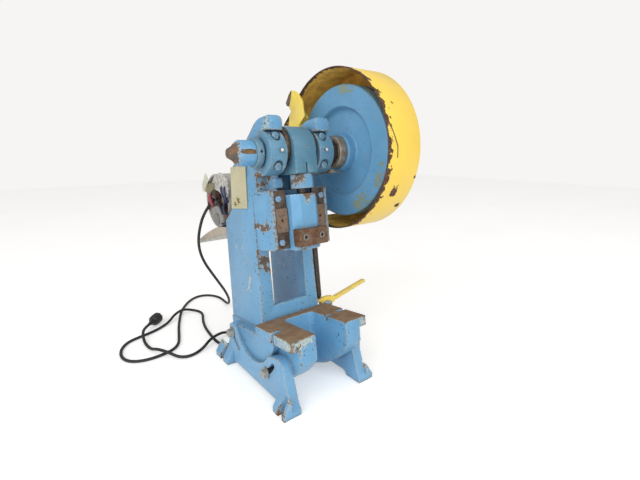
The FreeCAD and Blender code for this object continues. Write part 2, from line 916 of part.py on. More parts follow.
def oil_cups():
    cups = []
    out = Vector(0, -1, 0)
    for side in (-1, 1):
        tag = "oil_cup_%s" % ("right" if side > 0 else "left")
        x = side * size.oil_cup_x
        root = Vector(x, size.crank_y - size.cap_radius + 4.0, size.crank_z)
        tip = root + out * size.oil_cup_height
        stem = cylinder(tag + "_stem", "oil_cup_radius - 0.1", "oil_cup_height", root, out)
        ball = doc.addObject("Part::Sphere", tag + "_ball")
        ball.setExpression("Radius", bound("oil_cup_radius + 0.6"))
        ball.Placement = Placement(tip, Rotation())
        cups.append(fuse(tag, [stem, ball]))
    group("oil_cups", cups, LEAN)


def crank_bushes():
    """A plain bush in each bearing."""
    rings = []
    for side in (-1, 1):
        name = "crank_bush_%s" % ("right" if side > 0 else "left")
        base = Vector(side * size.ear_inner, size.crank_y, size.crank_z)
        out = Vector(side, 0, 0)
        outer = cylinder(name + "_outer", "bush_radius - 0.01", "ear_outer - ear_inner", base, out)
        inner = cylinder(
            name + "_inner", "journal_radius + running_fit", "ear_outer", base - out * 5.0, out
        )
        rings.append(cut(name, outer, inner))
    group("crank_bushes", rings, LEAN)


def cut(name, base, tool):
    result = doc.addObject("Part::Cut", name)
    result.Base = base
    result.Tool = tool
    return result


def thrust_rings():
    """Brass rings between the cheeks and the bearing blocks."""
    rings = []
    for side in (-1, 1):
        name = "thrust_ring_%s" % ("right" if side > 0 else "left")
        out = Vector(side, 0, 0)
        base = Vector(side * (size.cheek_outer + 0.2), size.crank_y, size.crank_z)
        outer = cylinder(
            name + "_outer", "ring_radius", "ear_inner - cheek_outer - 0.2", base, out
        )
        inner = cylinder(
            name + "_inner", "journal_radius + slide_gap", "ear_inner", base - out * 5.0, out
        )
        rings.append(cut(name, outer, inner))
    group("thrust_rings", rings, LEAN)


# ---------------------------------------------------------------- crank train
def crank_place():
    return LEAN * Placement(Vector(0, size.crank_y, size.crank_z), Rotation())


def crankshaft():
    """Turned shaft with two round cheeks and an offset pin, and a keyed stub on the left."""
    body = new_body("crankshaft", crank_place())
    left = new_sketch(body, "XZ")
    journal = size.journal_radius
    outline(
        left,
        (-size.cheek_outer, 0.0),
        (-size.cheek_outer, journal),
        (-size.stub_inner, journal),
        (-size.stub_inner, size.stub_radius),
        (-size.stub_outer, size.stub_radius),
        ((-130.0, 22.0), (-136.0, 15.5)),
        (-143.0, 11.5),
        (-size.stub_tip, 9.0),
        (-size.stub_tip, 0.0),
    )
    turn(body, left, "H_Axis")
    for start in (-size.cheek_outer, size.cheek_inner):
        cheek = new_sketch(body, "YZ", start)
        circle(cheek, (0.0, size.throw), "cheek_radius")
        pad(body, cheek, "cheek_outer - cheek_inner")
        if start < 0:
            pin = new_sketch(body, "YZ", -size.cheek_inner - 1.0)
            circle(pin, (0.0, size.throw), "pin_radius")
            pad(body, pin, "cheek_inner * 2 + 2")
    right = new_sketch(body, "XZ")
    outline(
        right,
        (size.cheek_outer - 1.0, 0.0),
        (size.cheek_outer - 1.0, journal),
        (size.shaft_right - 2.0, journal),
        (size.shaft_right, journal - 2.0),
        (size.shaft_right, 0.0),
    )
    turn(body, right, "H_Axis")
    keyway = new_sketch(body, "XZ", size.stub_radius + 1.0)
    half = size.keyway_width / 2.0
    rectangle(keyway, -size.stub_outer + 3.0, -size.stub_inner - 1.0, -half, half)
    pocket(body, keyway, "keyway_depth + 1")
    return body


def shaft_key():
    """Bronze strip lying in the stub's keyway."""
    body = new_body("shaft_key", crank_place())
    sketch = new_sketch(body, "XZ", size.stub_radius - 2.0)
    half = size.keyway_width / 2.0 - size.running_fit
    rectangle(sketch, -size.stub_outer + 3.2, -size.stub_inner - 1.2, -half, half)
    pad(body, sketch, "keyway_depth - 2.0", back=True)
    return body


def shaft_collar():
    body = new_body("shaft_collar", crank_place())
    sketch = new_sketch(body, "XZ")
    right = -size.stub_inner + size.collar_width - size.slide_gap
    bore = size.journal_radius + size.running_fit
    edge = size.collar_radius
    outline(
        sketch,
        (-size.stub_inner, bore),
        (-size.stub_inner, edge - 2.0),
        (-size.stub_inner + 2.0, edge),
        (right - 2.0, edge),
        (right, edge - 2.0),
        (right, bore),
    )
    turn(body, sketch, "H_Axis")
    screw = new_sketch(body, "XZ", size.collar_radius + 1.0)
    circle(screw, (-size.stub_inner + size.collar_width / 2.0, 0.0), "collar_screw_radius")
    pocket(body, screw, "collar_radius - journal_radius - 2")
    return body


def connecting_rod():
    """Big end round the crankpin, with a neck flush with its front that clamps the ball screw."""
    place = LEAN * Placement(Vector(0, size.crank_y, size.crank_z), Rotation())
    body = new_body("connecting_rod", place)
    radius = size.rod_big_radius
    rise = size.rod_big_rise
    neck_low = size.rod_neck_bottom - size.crank_z
    rear = 0.0
    rear_meet = rise - math.sqrt(radius ** 2 - 24.0 ** 2)
    sketch = new_sketch(body, "YZ")
    outline(
        sketch,
        (-radius, rise),
        ((0.0, rise + radius), (radius, rise)),
        (polar(radius, -25.0, (0.0, rise)), (24.0, rear_meet)),
        (rear, neck_low),
        (-radius + 3.0, neck_low),
        (-radius, neck_low + 3.0),
    )
    pad(body, sketch, "rod_half_width * 2", both=True)
    window = new_sketch(body, "YZ")
    crankpin_window(window)
    pocket(body, window, "rod_half_width * 2 + 2", both=True)
    line = size.rod_line_y - size.crank_y
    bore = new_sketch(body, "XY", neck_low - 1.0)
    circle(bore, (0.0, line), "screw_radius + running_fit")
    pocket(body, bore, "rod_bore_depth", back=True)
    slit = new_sketch(body, "XZ", radius + 1.0)
    half = size.clamp_slit / 2.0
    rectangle(slit, -half, half, neck_low - 1.0, neck_low + 22.0)
    pocket(body, slit, "screw_radius + 4")
    return body


def crankpin_window(sketch):
    """The room that the pin sweeps in the rod over the whole stroke and swing."""
    reach = size.throw + size.pin_radius + size.pin_clearance
    arm = size.crank_z - size.ball_height
    swing = math.radians(size.rod_swing)
    stroke = size.throw * 2.0
    side = (arm + stroke) * swing
    lift = (size.crank_y - size.rod_line_y) * swing
    low = -lift
    high = stroke + lift
    diagonal = reach * math.sqrt(0.5)
    outline(
        sketch,
        (-side - reach, low),
        ((-side - diagonal, low - diagonal), (-side, low - reach)),
        (side, low - reach),
        ((side + diagonal, low - diagonal), (side + reach, low)),
        (side + reach, high),
        ((side + diagonal, high + diagonal), (side, high + reach)),
        (-side, high + reach),
        ((-side - diagonal, high + diagonal), (-side - reach, high)),
    )


def ball_screw():
    """Screw with a ball at its foot, held in the rod's neck."""
    place = LEAN * Placement(Vector(0, size.rod_line_y, size.ball_height), Rotation())
    body = new_body("ball_screw", place)
    sketch = new_sketch(body, "XZ")
    ball = size.ball_radius
    stem = size.screw_radius
    neck = 9.0
    lift = math.sqrt(ball ** 2 - neck ** 2)
    top = size.rod_neck_bottom + 12.0 - size.ball_height
    outline(
        sketch,
        (0.0, -ball),
        ((ball, 0.0), (neck, lift)),
        (neck, lift + 4.0),
        (stem, lift + 6.0),
        (stem, top - 1.0),
        (stem - 1.0, top),
        (0.0, top),
    )
    turn(body, sketch, "V_Axis")
    return body


def adjusting_nut():
    """Large hexagon nut that locks the ball screw under the rod."""
    body = new_body("adjusting_nut", LEAN)
    sketch = new_sketch(body, "XY", size.nut_bottom)
    corner = size.nut_flats / math.sqrt(3.0)
    corners = [polar(corner, 60.0 * step, (0.0, size.rod_line_y)) for step in range(6)]
    outline(sketch, *corners)
    circle(sketch, (0.0, size.rod_line_y), "screw_radius + running_fit")
    pad(body, sketch, "rod_neck_bottom - nut_bottom")
    return body


# ---------------------------------------------------------------- ram
def ram():
    """Short slide: a chamfered nose in front and two wings behind the gib strips."""
    body = new_body("ram", LEAN)
    plan = new_sketch(body, "XY", size.ram_bottom)
    nose = size.ram_nose_half
    throat = size.ram_throat_half
    wing = size.ram_wing_half
    shoulder = size.ram_front + (throat - nose)
    behind = size.box_front + size.rebate_depth + size.guide_fit
    outline(
        plan,
        (-nose, size.ram_front),
        (nose, size.ram_front),
        (throat, shoulder),
        (throat, behind),
        (wing, behind),
        (wing, size.ram_rear),
        (-wing, size.ram_rear),
        (-wing, behind),
        (-throat, behind),
        (-throat, shoulder),
    )
    pad(body, plan, "ram_top - ram_bottom")
    seat = new_sketch(body, "YZ")
    rectangle(
        seat,
        size.ram_front - 5.0,
        size.clamp_rear,
        size.clamp_bottom,
        size.clamp_top,
    )
    pocket(body, seat, "clamp_half_width * 3", both=True)
    socket = new_sketch(body, "XY", size.ram_top)
    circle(socket, (0.0, size.rod_line_y), "ball_radius + running_fit")
    pocket(body, socket, "ram_top - ball_height")
    cup = new_sketch(body, "YZ")
    reach = size.ball_radius + size.running_fit
    low = size.ball_height - reach
    outline(
        cup,
        (size.rod_line_y, size.ball_height),
        (size.rod_line_y, low),
        (polar(reach, -45.0, (size.rod_line_y, size.ball_height)),
         (size.rod_line_y + reach, size.ball_height)),
    )
    groove_about(body, cup, size.rod_line_y)
    shank = new_sketch(body, "XY", size.ram_bottom - 1.0)
    circle(shank, (0.0, size.rod_line_y), "shank_radius")
    pocket(body, shank, "clamp_top - ram_bottom + 1", back=True)
    screws = new_sketch(body, "XZ", -size.clamp_rear)
    for side in (-1, 1):
        circle(screws, (side * size.clamp_screw_x, size.clamp_screw_z), "clamp_screw_radius - 3")
    pocket(body, screws, "clamp_screw_radius * 2")
    return body


def groove_about(body, sketch, line):
    """Turns a cut about an upright line of the sketch, drawn as its construction line."""
    sketch.addGeometry(Part.LineSegment(Vector(line, 0, 0), Vector(line, 10, 0)), True)
    groove(body, sketch, "Axis0")


def die_clamp():
    """Block across the ram's nose that grips a tool shank against it."""
    body = new_body("die_clamp", LEAN)
    plan = new_sketch(body, "XY", size.clamp_bottom + size.slide_gap)
    half = size.clamp_half_width
    rectangle(plan, -half, half, size.clamp_front, size.clamp_rear - 0.5)
    pad(body, plan, "clamp_top - clamp_bottom - slide_gap * 2")
    shank = new_sketch(body, "XY", size.clamp_bottom - 1.0)
    circle(shank, (0.0, size.rod_line_y), "shank_radius")
    pocket(body, shank, "clamp_top - clamp_bottom + 2", back=True)
    screws = new_sketch(body, "XZ", -(size.clamp_front - 1.0))
    bores = new_sketch(body, "XZ", -(size.clamp_front - 1.0))
    for side in (-1, 1):
        centre = (side * size.clamp_screw_x, size.clamp_screw_z)
        circle(screws, centre, "clamp_screw_radius + slide_gap")
        circle(bores, centre, "clamp_screw_radius - 3 + running_fit")
    pocket(body, screws, "clamp_screw_radius")
    pocket(body, bores, "clamp_rear - clamp_front + 2")
    return body


def die_clamp_screws():
    """Socket head screws sunk in the clamp block."""
    screws = []
    out = Vector(0, -1, 0)
    for side in (-1, 1):
        tag = "die_screw_%s" % ("right" if side > 0 else "left")
        x = side * size.clamp_screw_x
        floor = size.clamp_front + size.clamp_screw_radius - 1.0
        tip = Vector(x, size.clamp_rear + 10.0, size.clamp_screw_z)
        seat = Vector(x, floor, size.clamp_screw_z)
        shank = cylinder(
            tag + "_shank", "clamp_screw_radius - 3 - 0.05", "clamp_rear - clamp_front + 5", tip, out
        )
        head = cylinder(tag + "_head", "clamp_screw_radius", "clamp_screw_radius", seat, out)
        key = hexagon(
            tag + "_key",
            "clamp_screw_radius",
            "clamp_screw_radius",
            seat + out * (size.clamp_screw_radius - 3.5),
            out,
        )
        screws.append(cut(tag, fuse(tag + "_body", [shank, head]), key))
    group("die_clamp_screws", screws, LEAN)


def gib_strips():
    """Flat strips in the box's rebate that hold the ram's wings back."""
    strips = []
    for side in (-1, 1):
        name = "gib_strip_%s" % ("right" if side > 0 else "left")
        left = min(side * size.gib_inner, side * size.gib_outer)
        block = doc.addObject("Part::Box", name + "_bar")
        block.setExpression("Length", bound("gib_outer - gib_inner"))
        block.setExpression("Width", bound("gib_thick"))
        block.setExpression("Height", bound("box_top - box_bottom_front - 2"))
        rear = size.box_front + size.rebate_depth
        block.Placement = Placement(
            Vector(left, rear - size.gib_thick, size.box_bottom_front + 1.0), Rotation()
        )
        holes = []
        for height in (size.gib_screw_high, size.gib_screw_low):
            base = Vector(side * size.gib_screw_x, rear + 5.0, height)
            holes.append(
                cylinder(
                    name + "_hole",
                    "gib_screw_radius + running_fit",
                    "gib_thick + 10",
                    base,
                    Vector(0, -1, 0),
                )
            )
        strips.append(cut(name, block, fuse(name + "_holes", holes)))
    group("gib_strips", strips, LEAN)


def gib_plates():
    """Raised plates over the middle of the gib strips, each with a hole."""
    plates = []
    rear = size.box_front + size.rebate_depth - size.gib_thick
    for side in (-1, 1):
        name = "gib_plate_%s" % ("right" if side > 0 else "left")
        left = min(side * (size.gib_inner + 2.0), side * (size.gib_outer - 1.0))
        block = doc.addObject("Part::Box", name + "_sheet")
        block.setExpression("Length", bound("gib_outer - gib_inner - 3"))
        block.setExpression("Width", bound("gib_plate_thick"))
        block.setExpression("Height", bound("gib_plate_top - gib_plate_bottom"))
        block.Placement = Placement(
            Vector(left, rear - size.gib_plate_thick, size.gib_plate_bottom), Rotation()
        )
        middle = (size.gib_plate_top + size.gib_plate_bottom) / 2.0
        base = Vector(side * 50.0, rear + 5.0, middle)
        hole = cylinder(
            name + "_hole", "gib_screw_radius", "gib_thick + 20", base, Vector(0, -1, 0)
        )
        plates.append(cut(name, block, hole))
    group("gib_plates", plates, LEAN)


def gib_screws():
    screws = []
    out = Vector(0, -1, 0)
    face = size.box_front + size.rebate_depth - size.gib_thick
    for side in (-1, 1):
        for height in (size.gib_screw_high, size.gib_screw_low):
            tag = "gib_screw_%d" % (len(screws) + 1)
            x = side * size.gib_screw_x
            root = Vector(x, size.box_front + size.rebate_depth * 2.0, height)
            shank = cylinder(
                tag + "_shank", "gib_screw_radius", "rebate_depth + gib_thick", root, out
            )
            head = hexagon(
                tag + "_head", "gib_screw_flats", "gib_screw_head", Vector(x, face, height), out
            )
            screws.append(fuse(tag, [shank, head]))
    group("gib_screws", screws, LEAN)


# ---------------------------------------------------------------- flywheel and clutch
def flywheel():
    """Heavy wheel, dished on both faces, with a belt groove in its rim."""
    body = new_body("flywheel", crank_place())
    sketch = new_sketch(body, "XZ")
    bore = size.journal_radius + size.running_fit
    hub = size.wheel_hub_radius
    left = size.wheel_left
    right = size.wheel_right
    floor_left = left + size.wheel_recess_depth
    floor_right = right - size.wheel_recess_depth
    rim = size.wheel_radius
    dish = size.wheel_recess_radius
    root = rim - size.wheel_groove_depth
    half_low = size.belt_width / 2.0 + size.belt_side_gap
    half_high = half_low + 2.0
    belt = size.belt_line_x
    outline(
        sketch,
        (size.wheel_hub_left, bore),
        (size.wheel_hub_left, hub - 3.0),
        ((size.wheel_hub_left + 0.9, hub - 0.9), (size.wheel_hub_left + 3.0, hub)),
        (floor_left - 5.0, hub),
        ((floor_left - 1.5, hub + 1.5), (floor_left, hub + 5.0)),
        (floor_left, dish - 12.0),
        ((floor_left - 2.6, dish - 4.4), (floor_left - 9.0, dish - 1.0)),
        (left + 2.0, dish + 1.5),
        ((left + 0.6, dish + 2.6), (left, dish + 5.0)),
        (left, rim - 4.0),
        ((left + 1.2, rim - 1.2), (left + 4.0, rim)),
        (belt - half_high, rim),
        (belt - half_low, root),
        (belt + half_low, root),
        (belt + half_high, rim),
        (right - 4.0, rim),
        ((right - 1.2, rim - 1.2), (right, rim - 4.0)),
        (right, dish),
        (floor_right, dish - 8.0),
        (floor_right, hub),
        (right, hub - 4.0),
        (right, bore),
    )
    turn(body, sketch, "H_Axis")
    return body


def clutch_collar():
    """Dark steel drum keyed to the shaft beside the wheel, with holes round its edge."""
    body = new_body("clutch_collar", crank_place())
    sketch = new_sketch(body, "XZ")
    bore = size.journal_radius + size.running_fit
    right = size.wheel_hub_left - size.slide_gap
    edge = size.clutch_radius
    left = size.clutch_left
    outline(
        sketch,
        (left, bore),
        (left, edge - 2.5),
        (left + 2.5, edge),
        (right - 1.5, edge),
        (right, edge - 1.5),
        (right, bore),
    )
    turn(body, sketch, "H_Axis")
    holes = 6
    for index in range(holes):
        hole = new_sketch(body, "YZ", left - 1.0)
        place = polar(27.5, 30.0 + index * 360.0 / holes)
        circle(hole, place, "collar_screw_radius")
        pocket(body, hole, "collar_width", back=True)
    return body


def clutch_sleeve():
    """Smaller stepped sleeve between the bearing and the clutch drum."""
    body = new_body("clutch_sleeve", crank_place())
    sketch = new_sketch(body, "XZ")
    bore = size.journal_radius + size.running_fit
    left = size.clutch_sleeve_left
    right = size.clutch_left - 0.1
    edge = size.clutch_sleeve_radius
    step = (left + right) / 2.0
    outline(
        sketch,
        (left, bore),
        (left, edge - 4.0),
        (step - 3.0, edge - 4.0),
        (step, edge),
        (right, edge),
        (right, bore),
    )
    turn(body, sketch, "H_Axis")
    return body


def end_washer():
    """Washer and nut plate that keep the wheel on the shaft."""
    body = new_body("end_washer", crank_place())
    sketch = new_sketch(body, "XZ")
    left = size.wheel_right + size.slide_gap
    bore = size.journal_radius + size.running_fit
    outline(
        sketch,
        (left, bore),
        (left, size.end_washer_radius),
        (left + 3.0, size.end_washer_radius),
        (left + 4.0, size.end_washer_radius - 1.0),
        (left + 4.0, bore),
    )
    turn(body, sketch, "H_Axis")
    return body


def guard_outline(sketch, radius, overrun):
    """A disc cut off behind along the line between the guard's two ends."""
    centre = (0.0, size.guard_rise)
    high = polar(radius, size.guard_high_angle, centre)
    low = polar(radius, size.guard_low_angle, centre)
    front = polar(radius, (size.guard_high_angle + size.guard_low_angle) / 2.0, centre)
    if overrun:
        outline(sketch, high, (front, low), (low[0] + overrun, low[1]), (high[0] + overrun, high[1]))
    else:
        outline(sketch, high, (front, low))


def flywheel_guard():
    """Yellow sheet band round the wheel with a closed outer side, open behind for the belt."""
    body = new_body("flywheel_guard", crank_place())
    shell = new_sketch(body, "YZ", size.guard_left)
    guard_outline(shell, size.guard_radius, 0.0)
    pad(body, shell, "guard_right - guard_left")
    room = new_sketch(body, "YZ", size.guard_left)
    guard_outline(room, size.guard_radius - size.guard_sheet, 30.0)
    pocket(body, room, "guard_right - guard_left - guard_sheet", back=True)
    return body


def guard_bracket():
    """Joggled strap from the right side of the head up to the guard's rear end."""
    body = new_body("guard_bracket", LEAN)
    thick = size.guard_sheet
    low = size.strap_low
    knee = size.strap_knee
    high = size.crank_z + size.guard_rise + size.guard_radius * 0.82
    near = size.column_half_high + 0.1
    far = size.guard_left - thick - 0.1
    front_view = new_sketch(body, "XZ", size.strap_width)
    outline(
        front_view,
        (near, low),
        (near + thick, low),
        (near + thick, knee - 1.0),
        (far + thick, knee + 60.0),
        (far + thick, high + 20.0),
        (far, high + 20.0),
        (far, knee + 61.0),
        (near, knee),
    )
    pad(body, front_view, "strap_width * 3", back=True)
    side_view = new_sketch(body, "YZ", near - 1.0)
    outline(
        side_view,
        (size.strap_front, low - 1.0),
        (size.strap_front, knee),
        (size.strap_front - 12.0, knee + 17.0),
        (size.strap_tip_front, high + 7.0),
        (size.strap_tip_rear, high + 15.0),
        (size.strap_elbow, knee + 32.0),
        (size.strap_front + size.strap_width, knee),
        (size.strap_front + size.strap_width, low - 1.0),
    )
    trim = body.newObject("PartDesign::Pocket", body.Name + "_trim")
    reach = size.strap_width * 4.0
    outline(
        side_view,
        (-reach, low - 20.0),
        (reach, low - 20.0),
        (reach, high + 60.0),
        (-reach, high + 60.0),
    )
    trim.Profile = side_view
    trim.Length = far - near + thick * 4.0
    trim.Reversed = True
    doc.recompute()
    holes = new_sketch(body, "YZ", near - 1.0)
    for place in strap_bolt_places():
        circle(holes, place, "cap_bolt_radius + running_fit")
    pocket(body, holes, "guard_sheet * 2", back=True)
    return body


def strap_bolt_places():
    middle = size.strap_front + size.strap_width / 2.0
    return ((middle - 9.0, size.strap_low + 12.0), (middle + 9.0, size.strap_low + 34.0))


def strap_bolts():
    """Two bolts that hold the guard's strap to the head."""
    bolts = []
    out = Vector(1, 0, 0)
    face = size.column_half_high + 0.1 + size.guard_sheet
    for y, z in strap_bolt_places():
        tag = "strap_bolt_%d" % (len(bolts) + 1)
        root = Vector(face - 14.0, y, z)
        shank = cylinder(tag + "_shank", "cap_bolt_radius", "cap_thread_depth - 2", root, out)
        head = hexagon(
            tag + "_head", "cap_bolt_flats", "cap_bolt_head", Vector(face, y, z), out
        )
        bolts.append(fuse(tag, [shank, head]))
    group("strap_bolts", bolts, LEAN)


# ---------------------------------------------------------------- trip linkage
def trip_rod():
    """Upright rod beside the right column, with a rounded foot on the lever."""
    body = new_body("trip_rod", LEAN)
    place = (size.trip_rod_x, size.trip_rod_y)
    radius = size.trip_rod_radius
    low = size.trip_seat + 0.5
    sketch = new_sketch(body, "XZ", -size.trip_rod_y)
    outline(
        sketch,
        (place[0], low),
        (polar(radius, -45.0, (place[0], low + radius)), (place[0] + radius, low + radius)),
        (place[0] + radius, size.trip_rod_top - 1.0),
        (place[0] + radius - 1.0, size.trip_rod_top),
        (place[0], size.trip_rod_top),
    )
    sketch.addGeometry(
        Part.LineSegment(Vector(place[0], 0, 0), Vector(place[0], 10, 0)), True
    )
    turn(body, sketch, "Axis0")
    return body


def clutch_latch():
    """Arm on the rod's head that reaches forward under the clutch drum."""
    body = new_body("clutch_latch", LEAN)
    top = size.crank_z - size.clutch_radius - 8.0
    plan = new_sketch(body, "XY", size.trip_rod_top)
    rectangle(plan, 93.0, 104.0, size.crank_y - 12.0, size.trip_rod_y + 8.0)
    pad(body, plan, "oil_cup_height")
    nose = new_sketch(body, "XZ", -(size.crank_y - 12.0))
    rectangle(nose, 93.0, 122.0, size.trip_rod_top, top)
    pad(body, nose, "collar_width", back=True)
    return body


def rod_guide():
    """Lug on the right column that steadies the rod."""
    body = new_body("rod_guide", LEAN)
    plan = new_sketch(body, "XY", size.rod_guide_bottom)
    reach = size.trip_rod_radius + 4.0
    x = size.trip_rod_x
    y = size.trip_rod_y
    inner = column_face(size.rod_guide_bottom) + 0.1
    outline(
        plan,
        (inner, y - reach),
        (x, y - reach),
        ((x + reach, y), (x, y + reach)),
        (inner, y + reach),
    )
    circle(plan, (x, y), "trip_rod_radius + running_fit")
    pad(body, plan, "rod_guide_height")
    return body


def column_face(height):
    """Half width of the columns at a height, which narrows upward."""
    share = (height - size.column_base) / (size.box_top - size.column_base)
    return size.column_half_low + (size.column_half_high - size.column_half_low) * share


def trip_lever():
    """Yellow hand lever: a deep root over its pivot and a thin arm that rises to the tip."""
    body = new_body("trip_lever", LEAN)
    half = size.lever_thick / 2.0
    front = size.trip_rod_y - half
    sketch = new_sketch(body, "XZ", -front)
    seat = size.trip_seat
    tip = size.lever_tip_x
    outline(
        sketch,
        (size.body_half_width, seat - size.lever_root_depth),
        (size.body_half_width, seat),
        (120.0, seat),
        ((130.0, 6.0), (141.0, 1.5)),
        (tip - 8.0, 23.0),
        ((tip - 2.0, 23.5), (tip, 19.0)),
        ((tip - 2.0, 15.0), (tip - 7.0, 14.5)),
        (143.0, -8.0),
        ((134.0, -12.0), (127.0, -19.0)),
        ((112.0, -24.0), (97.0, -17.0)),
        (93.0, seat - 9.0),
    )
    pad(body, sketch, "lever_thick", back=True)
    bore = new_sketch(body, "XZ")
    circle(bore, (size.lever_pivot_x, size.lever_pivot_z), "lever_pin_radius + running_fit")
    pocket(body, bore, "lever_thick * 6", both=True)
    return body


def lever_bracket():
    """Plate behind the right bed pad with the lever's pivot pin."""
    body = new_body("lever_bracket", LEAN)
    plate = new_sketch(body, "XZ", -size.column_front)
    low = size.bed_top - size.bed_thick
    outline(
        plate,
        (size.column_half_low + 2.5, low),
        (size.lever_pivot_x + 6.0, low),
        ((size.lever_pivot_x + 12.0, low + 6.0), (size.lever_pivot_x + 12.0, low + 12.0)),
        (size.lever_pivot_x + 12.0, size.bed_top),
        (size.column_half_low + 2.5, size.bed_top),
    )
    pad(body, plate, "trip_rod_y - lever_thick / 2 - column_front - slide_gap", back=True)
    pin = new_sketch(body, "XZ", -size.column_front)
    circle(pin, (size.lever_pivot_x, size.lever_pivot_z), "lever_pin_radius")
    pad(body, pin, "lever_thick * 2", back=True)
    return body


# ---------------------------------------------------------------- motor
def motor_place():
    return LEAN * Placement(Vector(0, size.motor_y, size.motor_z), Rotation())


def motor_shell():
    """Round motor housing, open at its left end and domed at the right."""
    body = new_body("motor_shell", motor_place())
    sketch = new_sketch(body, "XZ")
    outer = size.motor_radius
    inner = outer - size.motor_wall
    left = size.motor_left
    right = size.motor_right
    shaft = size.motor_shaft_radius + size.running_fit
    outline(
        sketch,
        (left, inner),
        (left, outer),
        (right - 16.0, outer),
        ((right - 5.0, outer - 5.0), (right, outer - 18.0)),
        (right, 20.0),
        (right + 6.0, 18.0),
        (right + 6.0, shaft),
        (right - 14.0, shaft),
        (right - 14.0, inner),
    )
    turn(body, sketch, "H_Axis")
    return body


def motor_stator():
    """Laminated ring with its wound end, seen through the open left end."""
    body = new_body("motor_stator", motor_place())
    sketch = new_sketch(body, "XZ")
    outer = size.motor_radius - size.motor_wall - size.running_fit
    left = size.motor_left + size.motor_open_depth
    right = size.motor_right - 20.0
    outline(
        sketch,
        (left, 32.0),
        (left, outer),
        (right, outer),
        (right, 32.0),
    )
    turn(body, sketch, "H_Axis")
    coil = new_sketch(body, "XZ")
    outline(
        coil,
        (left + 1.0, 35.0),
        (left + 1.0, 60.0),
        (left - 8.0, 60.0),
        ((left - size.coil_depth, 50.0), (left - 8.0, 38.0)),
        (left - 8.0, 35.0),
    )
    turn(body, coil, "H_Axis")
    return body


def motor_shaft():
    """Rotor and shaft."""
    body = new_body("motor_shaft", motor_place())
    sketch = new_sketch(body, "XZ")
    radius = size.motor_shaft_radius
    left = size.motor_left + size.motor_open_depth
    right = size.motor_right - 20.0
    rotor = 31.0
    tip = size.belt_line_x + 16.0
    outline(
        sketch,
        (left - 22.0, 0.0),
        (left - 22.0, radius),
        (left, radius),
        (left, rotor),
        (right, rotor),
        (right, radius),
        (tip, radius),
        (tip, 0.0),
    )
    turn(body, sketch, "H_Axis")
    return body


def motor_pulley():
    body = new_body("motor_pulley", motor_place())
    sketch = new_sketch(body, "XZ")
    belt = size.belt_line_x
    half_low = size.belt_width / 2.0 + size.belt_side_gap
    half_high = half_low + 2.0
    edge = size.pulley_radius
    root = size.pulley_root
    bore = size.motor_shaft_radius + size.running_fit
    outline(
        sketch,
        (belt - 22.0, bore),
        (belt - 22.0, 18.0),
        (belt - half_high - 4.0, 18.0),
        (belt - half_high - 4.0, edge),
        (belt - half_high, edge),
        (belt - half_low, root),
        (belt + half_low, root),
        (belt + half_high, edge),
        (belt + half_high + 4.0, edge),
        (belt + half_high + 4.0, bore),
    )
    turn(body, sketch, "H_Axis")
    return body


def belt_loop(sketch, start_radius, end_radius):
    """Closed loop of two arcs and their outer tangents, wheel to pulley."""
    wheel = (size.crank_y, size.crank_z)
    motor = (size.motor_y, size.motor_z)
    span = math.dist(wheel, motor)
    heading = math.degrees(math.atan2(motor[1] - wheel[1], motor[0] - wheel[0]))
    lean = math.degrees(math.acos((start_radius - end_radius) / span))
    high_start = polar(start_radius, heading + lean, wheel)
    low_start = polar(start_radius, heading - lean, wheel)
    high_end = polar(end_radius, heading + lean, motor)
    low_end = polar(end_radius, heading - lean, motor)
    outline(
        sketch,
        high_start,
        (polar(start_radius, heading + 180.0, wheel), low_start),
        low_end,
        (polar(end_radius, heading, motor), high_end),
    )


def drive_belt():
    """Rubber belt from the motor pulley to the wheel's groove."""
    body = new_body("drive_belt", LEAN)
    sketch = new_sketch(body, "YZ", size.belt_line_x)
    inner_wheel = size.wheel_radius - size.wheel_groove_depth + size.belt_gap
    inner_pulley = size.pulley_root + size.belt_gap
    belt_loop(sketch, inner_wheel + size.belt_height, inner_pulley + size.belt_height)
    belt_loop(sketch, inner_wheel, inner_pulley)
    pad(body, sketch, "belt_width", both=True)
    return body


def plate_surface(y):
    """Top of the sloping motor plate."""
    start = rear_edge(size.plate_front_z)
    share = (y - start) / (size.plate_rear_y - start)
    return size.plate_front_z + (size.plate_rear_z - size.plate_front_z) * share


def motor_plate():
    """Bent plate bolted to the columns, sloping back under the motor."""
    body = new_body("motor_plate", LEAN)
    sketch = new_sketch(body, "YZ")
    thick = size.plate_thick
    low = size.plate_front_z - thick
    high = size.plate_front_z + size.plate_flange
    rear = size.plate_rear_y
    outline(
        sketch,
        (rear_edge(low), low),
        (rear_edge(high), high),
        (rear_edge(high) + thick, high),
        (rear_edge(size.plate_front_z) + thick, plate_surface(rear_edge(size.plate_front_z) + thick)),
        (rear, plate_surface(rear)),
        (rear, plate_surface(rear) - thick),
    )
    pad(body, sketch, "plate_half_width * 2", both=True)
    holes = new_sketch(body, "XZ", -(size.column_rear_low + 20.0))
    for side in (-1, 1):
        centre = (side * size.plate_bolt_x, size.plate_front_z + size.plate_flange / 2.0 + 3.0)
        circle(holes, centre, "cap_bolt_radius + running_fit")
    pocket(body, holes, "column_rear_low - column_rear_high + 25", back=True)
    return body


def plate_bolts():
    bolts = []
    height = size.plate_front_z + size.plate_flange / 2.0 + 3.0
    out = Vector(0, 1, 0)
    face = rear_edge(height) + size.plate_thick + 0.6
    for side in (-1, 1):
        tag = "plate_bolt_%s" % ("right" if side > 0 else "left")
        x = side * size.plate_bolt_x
        shank = cylinder(
            tag + "_shank", "cap_bolt_radius", "plate_thick + 15", Vector(x, face - 20.0, height), out
        )
        head = hexagon(
            tag + "_head", "cap_bolt_flats", "cap_bolt_head", Vector(x, face, height), out
        )
        bolts.append(fuse(tag, [shank, head]))
    group("plate_bolts", bolts, LEAN)


